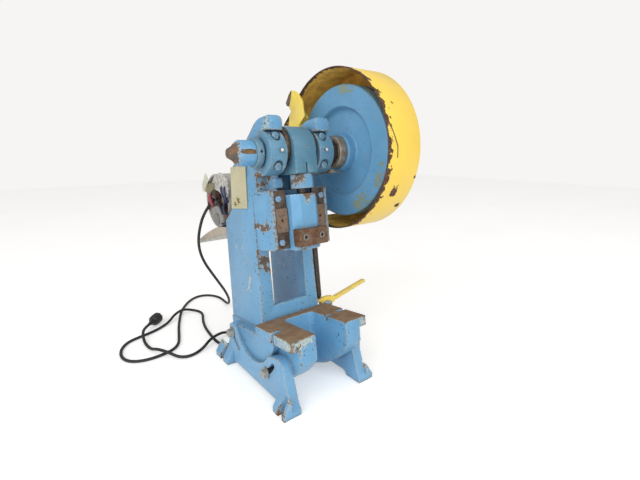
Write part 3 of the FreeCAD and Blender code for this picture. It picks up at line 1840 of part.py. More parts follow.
def motor_foot():
    """Saddle between the round housing and its plate."""
    body = new_body("motor_foot", LEAN)
    sketch = new_sketch(body, "YZ", 20.0)
    centre = (size.motor_y, size.motor_z)
    reach = size.motor_radius + size.running_fit
    left = polar(reach, -128.0, centre)
    right = polar(reach, -52.0, centre)
    bottom = polar(reach, -90.0, centre)
    outline(
        sketch,
        left,
        (bottom, right),
        (right[0] + 14.0, plate_surface(right[0] + 14.0)),
        (left[0] - 14.0, plate_surface(left[0] - 14.0)),
    )
    pad(body, sketch, "motor_right", both=True)
    return body


def motor_capacitor():
    """Grey round capacitor at the open end."""
    body = new_body("motor_capacitor", motor_place())
    sketch = new_sketch(body, "YZ", size.motor_left - size.capacitor_proud)
    circle(sketch, (size.capacitor_y, size.capacitor_z), "capacitor_radius")
    pad(body, sketch, "motor_open_depth - coil_depth + capacitor_proud - slide_gap")
    return body


# ---------------------------------------------------------------- trim
def blank_plate():
    """Bare pale plate on the left column."""
    body = new_body("blank_plate", LEAN)
    sketch = new_sketch(body, "YZ", -size.column_half_high - size.blank_plate_gap)
    outline(
        sketch,
        (size.blank_low_front, size.blank_plate_low),
        (size.blank_low_rear, size.blank_plate_low + size.blank_plate_skew),
        (size.blank_high_rear, size.blank_plate_high + size.blank_plate_skew),
        (size.blank_high_front, size.blank_plate_high),
    )
    pad(body, sketch, "blank_plate_thick", back=True)
    return body


# ---------------------------------------------------------------- cord
def cord_wire(points):
    """Straight runs joined by tangent arcs that are as large as their runs allow."""
    corners = [Vector(*place) for place in points]
    runs = [(corners[i + 1] - corners[i]).Length for i in range(len(corners) - 1)]
    edges = []
    radii = []
    here = corners[0]
    for index in range(1, len(corners) - 1):
        before = (corners[index] - corners[index - 1]).normalize()
        after = (corners[index + 1] - corners[index]).normalize()
        turn_angle = before.getAngle(after)
        setback = 0.45 * min(runs[index - 1], runs[index])
        radius = setback / math.tan(turn_angle / 2.0)
        radii.append(radius)
        start = corners[index] - before * setback
        end = corners[index] + after * setback
        inward = (after - before).normalize()
        centre = corners[index] + inward * (radius / math.cos(turn_angle / 2.0))
        middle = centre - inward * radius
        edges.append(Part.LineSegment(here, start).toShape())
        edges.append(Part.Arc(start, middle, end).toShape())
        here = end
    edges.append(Part.LineSegment(here, corners[-1]).toShape())
    return Part.Wire(edges), radii


def cord_run(name, points):
    """One free stretch of the mains cord as a round tube."""
    wire, radii = cord_wire(points)
    first = (Vector(*points[1]) - Vector(*points[0])).normalize()
    section = Part.Wire(Part.makeCircle(size.cord_radius, Vector(*points[0]), first))
    tube = wire.makePipeShell([section], True, False, 2)
    expected = math.pi * size.cord_radius ** 2 * wire.Length
    print(
        "%s: length %.0f, least radius %.1f, volume ratio %.4f"
        % (name, wire.Length, min(radii), tube.Volume / expected)
    )
    shaped(name, tube, LEVEL)
    return wire.Length


HANG = [
    (-60.0, 301.0, 379.0),
    (-75.0, 311.0, 353.0),
    (-83.0, 324.0, 317.0),
    (-88.0, 333.0, 279.0),
    (-85.0, 338.0, 241.0),
    (-71.0, 345.0, 203.0),
    (-48.0, 355.0, 164.0),
    (-21.0, 369.0, 122.0),
    (4.0, 382.0, 82.0),
    (23.0, 400.0, 46.0),
    (34.0, 426.0, 17.0),
    (39.0, 458.0, 4.2),
    (41.0, 486.0, 4.2),
]
LAY = [
    (41.0, 486.0, 4.2),
    (43.0, 514.0, 4.2),
    (34.0, 551.0, 4.2),
    (12.0, 578.0, 4.2),
    (-19.0, 585.0, 4.2),
    (-50.0, 568.0, 4.2),
    (-80.0, 535.0, 4.2),
    (-110.0, 490.0, 4.2),
    (-132.0, 437.0, 4.2),
    (-153.0, 383.0, 4.2),
    (-171.0, 325.0, 4.2),
    (-186.0, 280.0, 4.2),
    (-207.0, 256.0, 4.2),
    (-236.0, 247.0, 4.2),
    (-270.0, 244.0, 4.2),
    (-304.0, 254.0, 4.2),
    (-324.0, 278.0, 4.2),
    (-328.0, 313.0, 4.2),
    (-318.0, 350.0, 4.2),
    (-296.0, 377.0, 4.2),
    (-264.0, 388.0, 4.2),
    (-232.0, 395.0, 4.2),
    (-198.0, 410.0, 4.2),
    (-168.0, 430.0, 6.0),
    (-144.0, 451.0, 15.8),
    (-113.0, 476.0, 15.8),
    (-90.0, 479.0, 10.0),
    (-70.0, 468.0, 4.6),
    (-60.0, 446.0, 4.2),
    (-63.0, 418.0, 4.2),
    (-80.0, 375.0, 4.2),
    (-92.0, 325.0, 4.2),
    (-97.0, 276.0, 4.2),
    (-100.0, 233.0, 4.2),
    (-97.0, 206.0, 4.2),
    (-83.0, 187.0, 4.2),
    (-61.0, 182.0, 4.2),
    (-41.0, 193.0, 4.2),
    (-33.0, 214.0, 4.2),
    (-41.0, 236.0, 5.5),
    (-59.0, 246.0, 11.0),
    (-80.0, 243.0, 15.8),
    (-117.0, 226.0, 15.8),
    (-140.0, 210.0, 8.0),
    (-166.0, 198.0, 4.2),
    (-192.0, 195.0, 4.2),
    (-213.0, 206.0, 7.0),
    (-229.0, 228.0, 15.8),
    (-247.0, 264.0, 15.8),
    (-256.0, 293.0, 5.5),
    (-260.0, 326.0, 4.2),
    (-260.0, 352.0, 8.0),
    (-256.0, 376.0, 16.8),
    (-249.0, 398.0, 16.8),
    (-237.0, 417.0, 16.8),
    (-223.0, 431.0, 16.8),
]


def cord():
    """The mains cord: a hanging stretch from the motor and a long loose lay on the table."""
    hang = cord_run("cord_hang", HANG)
    lay = cord_run("cord_lay", LAY)
    print("cord: %.0f mm in all" % (hang + lay))


def cord_grommet():
    """Tapered sleeve round the cord where it leaves the motor, with a tab to the housing wall."""
    start = Vector(*HANG[0])
    heading = (Vector(*HANG[1]) - start).normalize()
    length = 22.0
    root = start - heading * length
    sleeve = Part.makeCone(6.8, size.cord_radius + 1.2, length, root, heading)
    place = motor_place()
    tab_rear = math.sqrt((size.motor_radius - size.motor_wall) ** 2 - 36.0) - 0.1
    tab = Part.makeBox(7.0, tab_rear - 50.0, 6.0, Vector(size.motor_left + 1.0, 50.0, -6.0))
    tab.Placement = place * tab.Placement
    shaped("cord_grommet", sleeve.fuse(tab).removeSplitter(), LEVEL)


def plug():
    """Moulded mains plug lying on the table, with two blades and a round pin."""
    start = Vector(*LAY[-1])
    heading = (start - Vector(*LAY[-2])).normalize()
    place = Placement(start, Rotation(Vector(0, 0, 1), heading))
    grip = [
        (0.0, 0.0),
        (5.4, 0.0),
        (7.0, 12.0),
        (9.5, 17.0),
        (15.5, 21.0),
        (16.4, 30.0),
        (16.4, 46.0),
        (0.0, 46.0),
    ]
    face = Part.Face(Part.makePolygon([Vector(r, 0, z) for r, z in grip + grip[:1]]))
    moulding = face.revolve(Vector(), Vector(0, 0, 1), 360)
    shaped("plug", moulding, place)
    pins = []
    for offset in (-6.3, 6.3):
        blade = Part.makeBox(1.5, 6.3, size.plug_pin_length, Vector(offset - 0.75, -6.0, 46.0))
        pins.append(blade)
    pins.append(Part.makeCylinder(2.4, size.plug_pin_length + 2.0, Vector(0, 6.5, 46.0)))
    shaped("plug_contacts", Part.makeCompound(pins), place)


# ---------------------------------------------------------------- build
leg("left_leg", -1)
leg("right_leg", 1)
tilt_bolts()
press_frame()
bearing_cap("left_bearing_cap", -1)
bearing_cap("right_bearing_cap", 1)
cap_bolts()
oil_cups()
crank_bushes()
thrust_rings()
crankshaft()
shaft_key()
shaft_collar()
connecting_rod()
ball_screw()
adjusting_nut()
ram()
die_clamp()
die_clamp_screws()
gib_strips()
gib_plates()
gib_screws()
flywheel()
clutch_collar()
clutch_sleeve()
end_washer()
flywheel_guard()
guard_bracket()
strap_bolts()
trip_rod()
clutch_latch()
rod_guide()
trip_lever()
lever_bracket()
motor_shell()
motor_stator()
motor_shaft()
motor_pulley()
drive_belt()
motor_plate()
plate_bolts()
motor_foot()
motor_capacitor()
blank_plate()
cord_grommet()
cord()
plug()
doc.recompute()

for item in doc.Objects:
    if "Invalid" in item.State or "Error" in item.State:
        raise ValueError("%s has failed: %s" % (item.Name, item.State))
for node in nodes:
    if node.Shape.isNull() or not node.Shape.isValid():
        raise ValueError("%s has no sound shape" % node.Label)

os.makedirs("parts", exist_ok=True)
for node in nodes:
    node.Shape.exportStep("parts/%s.step" % node.Label)
    print("%-20s %2d solids %12.0f mm3" % (node.Label, len(node.Shape.Solids), node.Shape.Volume))
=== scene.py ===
"""Small inclinable stamping press: worn blue castings, a yellow wheel guard and a black mains cord.

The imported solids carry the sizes. Each piece here is one of them with its arrises rounded, or a
form of its own in the same place, and has the finish that the real thing shows.
"""
import json
import math

import bpy
from bpy.props import FloatProperty, FloatVectorProperty, PointerProperty
from mathutils import Matrix, Quaternion, Vector

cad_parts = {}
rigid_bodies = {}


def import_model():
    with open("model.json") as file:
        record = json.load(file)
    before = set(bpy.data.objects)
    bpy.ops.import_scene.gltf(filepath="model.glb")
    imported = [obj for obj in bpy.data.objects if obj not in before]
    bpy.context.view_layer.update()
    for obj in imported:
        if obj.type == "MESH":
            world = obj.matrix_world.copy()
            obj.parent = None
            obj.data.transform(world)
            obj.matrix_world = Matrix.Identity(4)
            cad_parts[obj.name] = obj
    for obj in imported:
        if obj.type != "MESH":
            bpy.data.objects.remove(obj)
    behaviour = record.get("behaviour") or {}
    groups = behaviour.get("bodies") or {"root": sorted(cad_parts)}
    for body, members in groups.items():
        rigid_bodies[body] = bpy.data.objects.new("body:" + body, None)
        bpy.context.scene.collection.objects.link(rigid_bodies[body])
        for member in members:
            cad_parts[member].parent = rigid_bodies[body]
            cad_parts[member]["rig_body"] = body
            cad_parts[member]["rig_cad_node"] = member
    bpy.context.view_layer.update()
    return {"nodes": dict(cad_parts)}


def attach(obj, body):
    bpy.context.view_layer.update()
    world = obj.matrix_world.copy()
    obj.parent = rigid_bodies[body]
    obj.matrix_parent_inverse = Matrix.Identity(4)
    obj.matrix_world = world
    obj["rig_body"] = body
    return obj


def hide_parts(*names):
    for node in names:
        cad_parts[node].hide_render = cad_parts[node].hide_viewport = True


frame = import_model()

bl_info = {
    "name": "Stamping press",
    "version": (1, 0, 0),
    "blender": (4, 5, 0),
    "location": "View3D > Sidebar > Press",
    "description": "Dresses the solids of a bench stamping press and sets its stage",
    "category": "Object",
}

MM = 0.001
PIVOT = Vector((0.0, 0.0, 0.150))
LEAN = Matrix.Translation(PIVOT) @ Matrix.Rotation(math.radians(-7.2), 4, "X")
# edges sharper than the first get an arris, and those flatter than the second are shaded smooth
SHARP = math.radians(28.0)
SMOOTH = math.radians(32.0)
# where the noise of worn enamel ends the paint, starts a nick and ends the undercoat
PAINT_ENDS = 0.715
NICKS_START = 0.735
PRIMER_ENDS = 0.755
FRAY = 0.02
# how high the cord's centre line lies above the table, in millimetres
CORD_REST = 4.2
# the wheel's guard on the upright frame, in millimetres, with its axis as (y, z)
GUARD_AXIS = (-75.0, 370.0)
GUARD_RADIUS = 180.0
GUARD_SHEET = 2.5
GUARD_LEFT = 106.0
TAIL_WIDTH = 97.8


def leaned(x, y, z):
    """A place on the upright frame, in millimetres, where the leaning frame carries it."""
    return LEAN @ (Vector((x, y, z)) * MM)


def on_circle(centre, radius, angle):
    """The (y, z) place on a circle square to the crank's line, its angle in degrees."""
    turn = math.radians(angle)
    return centre[0] + radius * math.cos(turn), centre[1] + radius * math.sin(turn)


def linear(code):
    """An sRGB hex colour as the linear values that shaders take."""
    parts = [int(code[i : i + 2], 16) / 255.0 for i in (0, 2, 4)]
    return tuple(p / 12.92 if p <= 0.04045 else ((p + 0.055) / 1.055) ** 2.4 for p in parts)


def toned(colour, share=1.0):
    """An opaque colour, dimmed or lifted by a share."""
    return (*[part * share for part in colour], 1.0)


def hue(code):
    """An opaque colour from its sRGB hex code."""
    return toned(linear(code))


# ------------------------------------------------------------------ sizes and colours
class PressColours(bpy.types.PropertyGroup):
    """Colours of the paints and metals."""

    blue: FloatVectorProperty(
        name="Blue enamel", description="Brushed blue enamel of the castings",
        subtype="COLOR", default=linear("6BA6CF"),
    )
    yellow: FloatVectorProperty(
        name="Yellow enamel", description="Safety yellow of the guard and the lever",
        subtype="COLOR", default=linear("FFDA58"),
    )
    primer: FloatVectorProperty(
        name="Primer", description="Pale undercoat that rims each chip",
        subtype="COLOR", default=linear("BCC6BF"),
    )
    iron: FloatVectorProperty(
        name="Bare iron", description="Cast iron where the paint is gone",
        subtype="COLOR", default=linear("5B5652"),
    )
    rust: FloatVectorProperty(
        name="Rust", description="Thin brown rust on bare iron",
        subtype="COLOR", default=linear("84613F"),
    )
    steel: FloatVectorProperty(
        name="Oiled steel", description="Dark oiled steel of the clutch and rods",
        subtype="COLOR", default=linear("4A4643"),
    )
    motor: FloatVectorProperty(
        name="Motor paint", description="Greyed tan paint of the motor",
        subtype="COLOR", default=linear("B6B1A4"),
    )
    cord: FloatVectorProperty(
        name="Cord rubber", description="Black rubber of the mains cord",
        subtype="COLOR", default=linear("1D1D1F"),
    )


class PressForm(bpy.types.PropertyGroup):
    """Sizes that the dressing adds to the solids."""

    cast_arris: FloatProperty(
        name="Cast arris", description="Rounding of the castings' edges",
        unit="LENGTH", default=2.2 * MM,
    )
    cord_diameter: FloatProperty(
        name="Cord diameter", description="Thickness of the mains cord",
        unit="LENGTH", default=8.0 * MM,
    )


class PressStage(bpy.types.PropertyGroup):
    """Where the camera stands and how bright the room is."""

    camera: FloatVectorProperty(
        name="Camera", description="Where the camera stands",
        subtype="TRANSLATION", unit="LENGTH", default=(-0.4620, -0.7116, 0.5314),
    )
    azimuth: FloatProperty(
        name="Azimuth", description="Heading of the camera, turned left of the back",
        subtype="ANGLE", unit="ROTATION", default=math.radians(-38.2),
    )
    pitch: FloatProperty(
        name="Pitch", description="Tilt of the camera below level",
        subtype="ANGLE", unit="ROTATION", default=math.radians(-13.7),
    )
    roll: FloatProperty(
        name="Roll", description="Turn of the camera about its own line of sight",
        subtype="ANGLE", unit="ROTATION", default=math.radians(0.3),
    )
    lens: FloatProperty(
        name="Lens", description="Focal length on a 36 mm wide sensor",
        subtype="DISTANCE_CAMERA", default=21.05,
    )
    room_light: FloatProperty(
        name="Room light", description="Strength of the even light of the room",
        default=0.62,
    )


# ------------------------------------------------------------------ modelling helpers
def deselect():
    if bpy.context.mode != "OBJECT":
        bpy.ops.object.mode_set(mode="OBJECT")
    bpy.ops.object.select_all(action="DESELECT")


def pick(piece):
    """Makes one object the only selected and active one."""
    deselect()
    piece.hide_viewport = False
    piece.hide_set(False)
    piece.select_set(True)
    bpy.context.view_layer.objects.active = piece


def copy_of(node_name):
    """A merged copy of a solid, with its flat faces whole again."""
    source = frame["nodes"][node_name]
    pick(source)
    bpy.ops.object.duplicate()
    piece = bpy.context.active_object
    del piece["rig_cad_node"]
    piece.data.materials.clear()
    bpy.ops.object.mode_set(mode="EDIT")
    bpy.ops.mesh.select_all(action="SELECT")
    bpy.ops.mesh.remove_doubles(threshold=2e-6)
    bpy.ops.mesh.dissolve_limited(angle_limit=math.radians(0.4))
    bpy.ops.object.mode_set(mode="OBJECT")
    return piece


def break_arrises(piece, width, miter):
    """Rounds the active piece's sharp edges and shades it smooth between them."""
    bevel = piece.modifiers.new("arris", "BEVEL")
    bevel.width = width
    bevel.segments = 2
    bevel.limit_method = "ANGLE"
    bevel.angle_limit = SHARP
    bevel.miter_outer = miter
    bpy.ops.object.modifier_apply(modifier=bevel.name)
    bpy.ops.object.shade_smooth_by_angle(angle=SMOOTH)


def rounded(node_name, arris):
    """Stands for a solid with its arrises rounded."""
    piece = copy_of(node_name)
    piece.name = node_name + "_rounded"
    break_arrises(piece, arris, "MITER_ARC")
    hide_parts(node_name)
    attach(piece, frame["nodes"][node_name]["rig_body"])
    return piece


def flat_piece(name, left, thickness, corners, arris=0.5):
    """A plate square to the crank's line, its corners as (y, z) on the upright frame, in mm."""
    deselect()
    bpy.ops.mesh.primitive_circle_add(vertices=len(corners), radius=MM, fill_type="NGON")
    piece = bpy.context.active_object
    piece.name = name
    bpy.context.tool_settings.mesh_select_mode = (True, False, False)
    for index, (y, z) in enumerate(corners):
        bpy.ops.object.mode_set(mode="EDIT")
        bpy.ops.mesh.select_all(action="DESELECT")
        bpy.ops.object.mode_set(mode="OBJECT")
        corner = piece.data.vertices[index]
        corner.select = True
        move = leaned(left, y, z) - corner.co
        bpy.ops.object.mode_set(mode="EDIT")
        bpy.ops.transform.translate(value=move)
    bpy.ops.mesh.select_all(action="SELECT")
    bpy.ops.mesh.extrude_region_move(
        TRANSFORM_OT_translate={"value": (thickness * MM, 0.0, 0.0)}
    )
    bpy.ops.mesh.select_all(action="SELECT")
    bpy.ops.mesh.normals_make_consistent(inside=False)
    bpy.ops.object.mode_set(mode="OBJECT")
    break_arrises(piece, arris * MM, "MITER_SHARP")
    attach(piece, "upright")
    return piece


def finish(piece, material):
    """Gives a piece, or a solid by name, its one material."""
    if isinstance(piece, str):
        piece = frame["nodes"][piece]
    piece.data.materials.clear()
    piece.data.materials.append(material)


def dress(node_name, arris, material):
    """Finishes a solid with its arrises rounded to a width in millimetres."""
    finish(rounded(node_name, arris * MM), material)


def spots(*rows):
    """Worn places, each a row of x, y, z, radius in mm and strength, on the upright frame."""
    return [(leaned(x, y, z), radius, strength) for x, y, z, radius, strength in rows]


# ------------------------------------------------------------------ materials
def node(tree, kind, links=None, **settings):
    """Adds a node with its settings; links give an input's value or the output that feeds it."""
    made = tree.nodes.new(kind)
    for name, value in settings.items():
        setattr(made, name, value)
    for place, value in (links or {}).items():
        socket = made.inputs[place]
        if isinstance(value, bpy.types.NodeSocket):
            tree.links.new(value, socket)
        else:
            socket.default_value = value
    return made


def new_material(name):
    """An empty material with its shader and the piece's own coordinates."""
    material = bpy.data.materials.new(name)
    material.use_nodes = True
    tree = material.node_tree
    tree.nodes.clear()
    shader = node(tree, "ShaderNodeBsdfPrincipled")
    output = node(tree, "ShaderNodeOutputMaterial", {"Surface": shader.outputs["BSDF"]})
    output.is_active_output = True
    where = node(tree, "ShaderNodeTexCoord").outputs["Object"]
    return material, tree, shader, where


def blotches(tree, where, size, low, high, detail=3.0):
    """0 to 1 in ragged blotches about size millimetres across."""
    cloud = node(
        tree, "ShaderNodeTexNoise",
        {"Vector": where, "Scale": 1000.0 / size, "Detail": detail, "Roughness": 0.6},
    )
    return node(
        tree, "ShaderNodeMapRange",
        {"Value": cloud.outputs[0], "From Min": low, "From Max": high},
    ).outputs[0]


def layered(tree, colour, *coats):
    """Lays coats over a colour, each one a mask and the colour that shows where the mask is 1."""
    for mask, coat in coats:
        colour = node(
            tree, "ShaderNodeMix", {0: mask, 6: colour, 7: coat}, data_type="RGBA"
        ).outputs[2]
    return colour


def mottled(tree, where, size, low, high, first, second):
    """One tone going over into another in ragged blotches about size millimetres across."""
    return layered(tree, first, (blotches(tree, where, size, low, high), second))


def arrises(tree, reach, start, most):
    """Up to most on a convex edge, felt within reach metres of it."""
    inside = node(
        tree, "ShaderNodeAmbientOcclusion", {"Distance": reach},
        inside=True, only_local=True, samples=6,
    ).outputs["AO"]
    return node(
        tree, "ShaderNodeMapRange",
        {"Value": inside, "From Min": start, "From Max": 0.5, "To Max": most},
    ).outputs[0]


def roughen(tree, shader, value, least, most, low=0.0, high=1.0):
    """Takes the shader's roughness from least to most as a value goes from low to high."""
    rough = node(
        tree, "ShaderNodeMapRange",
        {"Value": value, "From Min": low, "From Max": high, "To Min": least, "To Max": most},
    ).outputs[0]
    tree.links.new(rough, shader.inputs["Roughness"])


def near(tree, where, places):
    """The summed nearness to places given as (point, radius in mm, strength)."""
    total = None
    for point, radius, strength in places:
        gap = node(
            tree, "ShaderNodeVectorMath", {0: where, 1: tuple(point)}, operation="DISTANCE"
        )
        share = node(
            tree, "ShaderNodeMapRange",
            {
                "Value": gap.outputs["Value"],
                "From Min": radius * 1.25 * MM,
                "From Max": radius * 0.35 * MM,
                "To Min": 0.0,
                "To Max": strength,
            },
        ).outputs[0]
        if total is None:
            total = share
        else:
            total = node(tree, "ShaderNodeMath", {0: total, 1: share}, operation="ADD").outputs[0]
    return total


def along(tree, where, start, end):
    """How far a spot lies from the straight line between two places, in metres."""
    run = Vector(end) - Vector(start)
    offset = node(
        tree, "ShaderNodeVectorMath", {0: where, 1: tuple(start)}, operation="SUBTRACT"
    ).outputs[0]
    reach = node(
        tree, "ShaderNodeVectorMath", {0: offset, 1: tuple(run)}, operation="DOT_PRODUCT"
    ).outputs["Value"]
    share = node(
        tree, "ShaderNodeMapRange", {"Value": reach, "From Max": run.length_squared}
    ).outputs[0]
    foot = node(
        tree, "ShaderNodeVectorMath", {0: tuple(run), "Scale": share}, operation="SCALE"
    ).outputs[0]
    return node(
        tree, "ShaderNodeVectorMath", {0: offset, 1: foot}, operation="DISTANCE"
    ).outputs["Value"]


def worn_enamel(
    name, paint, edge_wear=0.30, chip_size=7.0, places=(), pale=(), bare_top=None,
    steel_beyond=None, soil_and_shade=0.55, edge_reach=7.0, gloss=0.38, under=None, pale_edge=0.25,
    specks=0.0,
):
    """Brushed alkyd enamel on cast iron, chipped at its arrises.

    To the eye: a soft sheen with faint brush marks, darker grey in the corners and beside other
    parts that is partly soiling and partly painted shade, and ragged chips with a pale rim of
    undercoat round grey iron and brown rust. A worked top face is brown rust.
    """
    colours = bpy.context.scene.press_colours
    material, tree, shader, where = new_material(name)
    cloud = node(
        tree, "ShaderNodeTexNoise",
        {"Vector": where, "Scale": 1000.0 / chip_size, "Detail": 4.0, "Roughness": 0.68},
    ).outputs[0]
    edge = arrises(tree, edge_reach * MM, 0.96, edge_wear)
    field = node(tree, "ShaderNodeMath", {0: cloud, 1: edge}, operation="ADD").outputs[0]
    if places:
        chipped = near(tree, where, places)
        field = node(tree, "ShaderNodeMath", {0: field, 1: chipped}, operation="ADD").outputs[0]
    # convex edges take the pale undercoat by pale_edge: worn paint, and where pale_edge is large,
    # as on the legs, also a painted highlight along the ribs
    worn_and_highlit = node(
        tree, "ShaderNodeMath", {0: edge, 1: pale_edge, 2: field}, operation="MULTIPLY_ADD"
    ).outputs[0]
    if pale:
        thinned = near(tree, where, pale)
        worn_and_highlit = node(tree, "ShaderNodeMath", {0: worn_and_highlit, 1: thinned}, operation="ADD").outputs[0]
    rim = node(
        tree, "ShaderNodeMapRange",
        {"Value": worn_and_highlit, "From Min": PAINT_ENDS, "From Max": PAINT_ENDS + FRAY},
    ).outputs[0]
    core = node(
        tree, "ShaderNodeMapRange",
        {"Value": field, "From Min": PRIMER_ENDS, "From Max": PRIMER_ENDS + FRAY},
    ).outputs[0]
    # brush marks run along the castings, some 2 mm apart and 60 mm long
    strokes = node(
        tree, "ShaderNodeTexNoise",
        {
            "Vector": node(
                tree, "ShaderNodeMapping", {0: where, 3: (1.0, 1.0, 0.06)}
            ).outputs[0],
            "Scale": 420.0,
            "Detail": 2.0,
        },
    ).outputs[0]
    bright = (*[min(1.0, part * 1.06) for part in paint], 1.0)
    painted = mottled(tree, where, 55.0, 0.30, 0.72, toned(paint, 0.90), bright)
    # thin places in the brushed coat let a greyer tone through, 15 to 40 mm across
    thin = node(
        tree, "ShaderNodeMath",
        {0: blotches(tree, where, 24.0, 0.48, 0.72, detail=5.0), 1: 0.30}, operation="MULTIPLY",
    ).outputs[0]
    grey = sum(paint) / 3.0
    greyed = (*[part * 0.55 + grey * 0.45 for part in paint], 1.0)
    painted = layered(tree, painted, (thin, greyed))
    # painted shade: occlusion, also by the parts nearby, darkens hollows and the places beside
    # other parts towards dark grey, partly soiling and partly shade
    hollow = node(
        tree, "ShaderNodeAmbientOcclusion", {"Distance": 14.0 * MM}, only_local=False, samples=6
    ).outputs["AO"]
    shade_and_soil = node(
        tree, "ShaderNodeMapRange",
        {"Value": hollow, "From Min": 0.80, "From Max": 0.25, "To Max": soil_and_shade},
    ).outputs[0]
    bare = mottled(tree, where, 9.0, 0.42, 0.60, toned(colours.iron), toned(colours.rust))
    undercoat = hue(under) if under else toned(colours.primer)
    coat = mottled(tree, where, 4.0, 0.42, 0.60, undercoat, hue(under or "9FB4BC"))
    colour = layered(tree, painted, (shade_and_soil, hue("3B3A38")), (rim, coat), (core, bare))
    dull = node(tree, "ShaderNodeMath", {0: core, 1: shade_and_soil}, operation="MAXIMUM").outputs[0]
    if specks:
        # small dark nicks, 1 to 3 mm across, thick in some places and sparse in others
        nick = node(
            tree, "ShaderNodeTexNoise",
            {"Vector": where, "Scale": 230.0, "Detail": 2.0, "Roughness": 0.5},
        ).outputs[0]
        crowd = node(
            tree, "ShaderNodeMath",
            {0: blotches(tree, where, 60.0, 0.35, 0.70), 1: specks, 2: nick},
            operation="MULTIPLY_ADD",
        ).outputs[0]
        nicked = node(
            tree, "ShaderNodeMapRange",
            {"Value": crowd, "From Min": NICKS_START, "From Max": NICKS_START + FRAY},
        ).outputs[0]
        colour = layered(tree, colour, (nicked, hue("4D4A47")))
    if bare_top:
        worked = level_face(tree, where, *bare_top)
        brown = mottled(tree, where, 22.0, 0.36, 0.66, hue("91765A"), hue("7C624A"))
        colour = layered(tree, colour, (worked, brown))
        dull = node(tree, "ShaderNodeMath", {0: dull, 1: worked}, operation="MAXIMUM").outputs[0]
    if steel_beyond is not None:
        across = node(tree, "ShaderNodeSeparateXYZ", {0: where}).outputs[0]
        steel = node(
            tree, "ShaderNodeMath", {0: across, 1: steel_beyond * MM}, operation="GREATER_THAN"
        ).outputs[0]
        oily = mottled(tree, where, 7.0, 0.40, 0.62, hue("4B423B"), hue("6E5A44"))
        colour = layered(tree, colour, (steel, oily))
        metal = node(tree, "ShaderNodeMath", {0: steel, 1: 0.55}, operation="MULTIPLY").outputs[0]
        tree.links.new(metal, shader.inputs["Metallic"])
    tree.links.new(colour, shader.inputs["Base Color"])
    roughen(tree, shader, dull, gloss, 0.78)
    # cast skin under the paint: a 2.5 mm orange peel, and chips a tenth of a millimetre deep
    skin = node(
        tree, "ShaderNodeTexNoise", {"Vector": where, "Scale": 400.0, "Detail": 2.0}
    ).outputs[0]
    relief = node(tree, "ShaderNodeMath", {0: skin, 1: strokes}, operation="ADD").outputs[0]
    height = node(
        tree, "ShaderNodeMath", {0: rim, 1: -1.4, 2: relief}, operation="MULTIPLY_ADD"
    ).outputs[0]
    bump = node(tree, "ShaderNodeBump", {"Height": height, "Strength": 0.35, "Distance": 0.0004})
    tree.links.new(bump.outputs[0], shader.inputs["Normal"])
    return material


def level_face(tree, where, point, normal, reach):
    """1 on the flat face through a point that looks along the normal, within reach millimetres."""
    offset = node(
        tree, "ShaderNodeVectorMath", {0: where, 1: tuple(point)}, operation="SUBTRACT"
    ).outputs[0]
    height = node(
        tree, "ShaderNodeVectorMath", {0: offset, 1: tuple(normal)}, operation="DOT_PRODUCT"
    ).outputs["Value"]
    facing = node(
        tree, "ShaderNodeVectorMath",
        {0: node(tree, "ShaderNodeNewGeometry").outputs["True Normal"], 1: tuple(normal)},
        operation="DOT_PRODUCT",
    ).outputs["Value"]
    level = node(
        tree, "ShaderNodeMath", {0: height, 1: 0.0, 2: reach * MM}, operation="COMPARE"
    ).outputs[0]
    flat = node(tree, "ShaderNodeMath", {0: facing, 1: 0.6}, operation="GREATER_THAN").outputs[0]
    return node(tree, "ShaderNodeMath", {0: level, 1: flat}, operation="MULTIPLY").outputs[0]


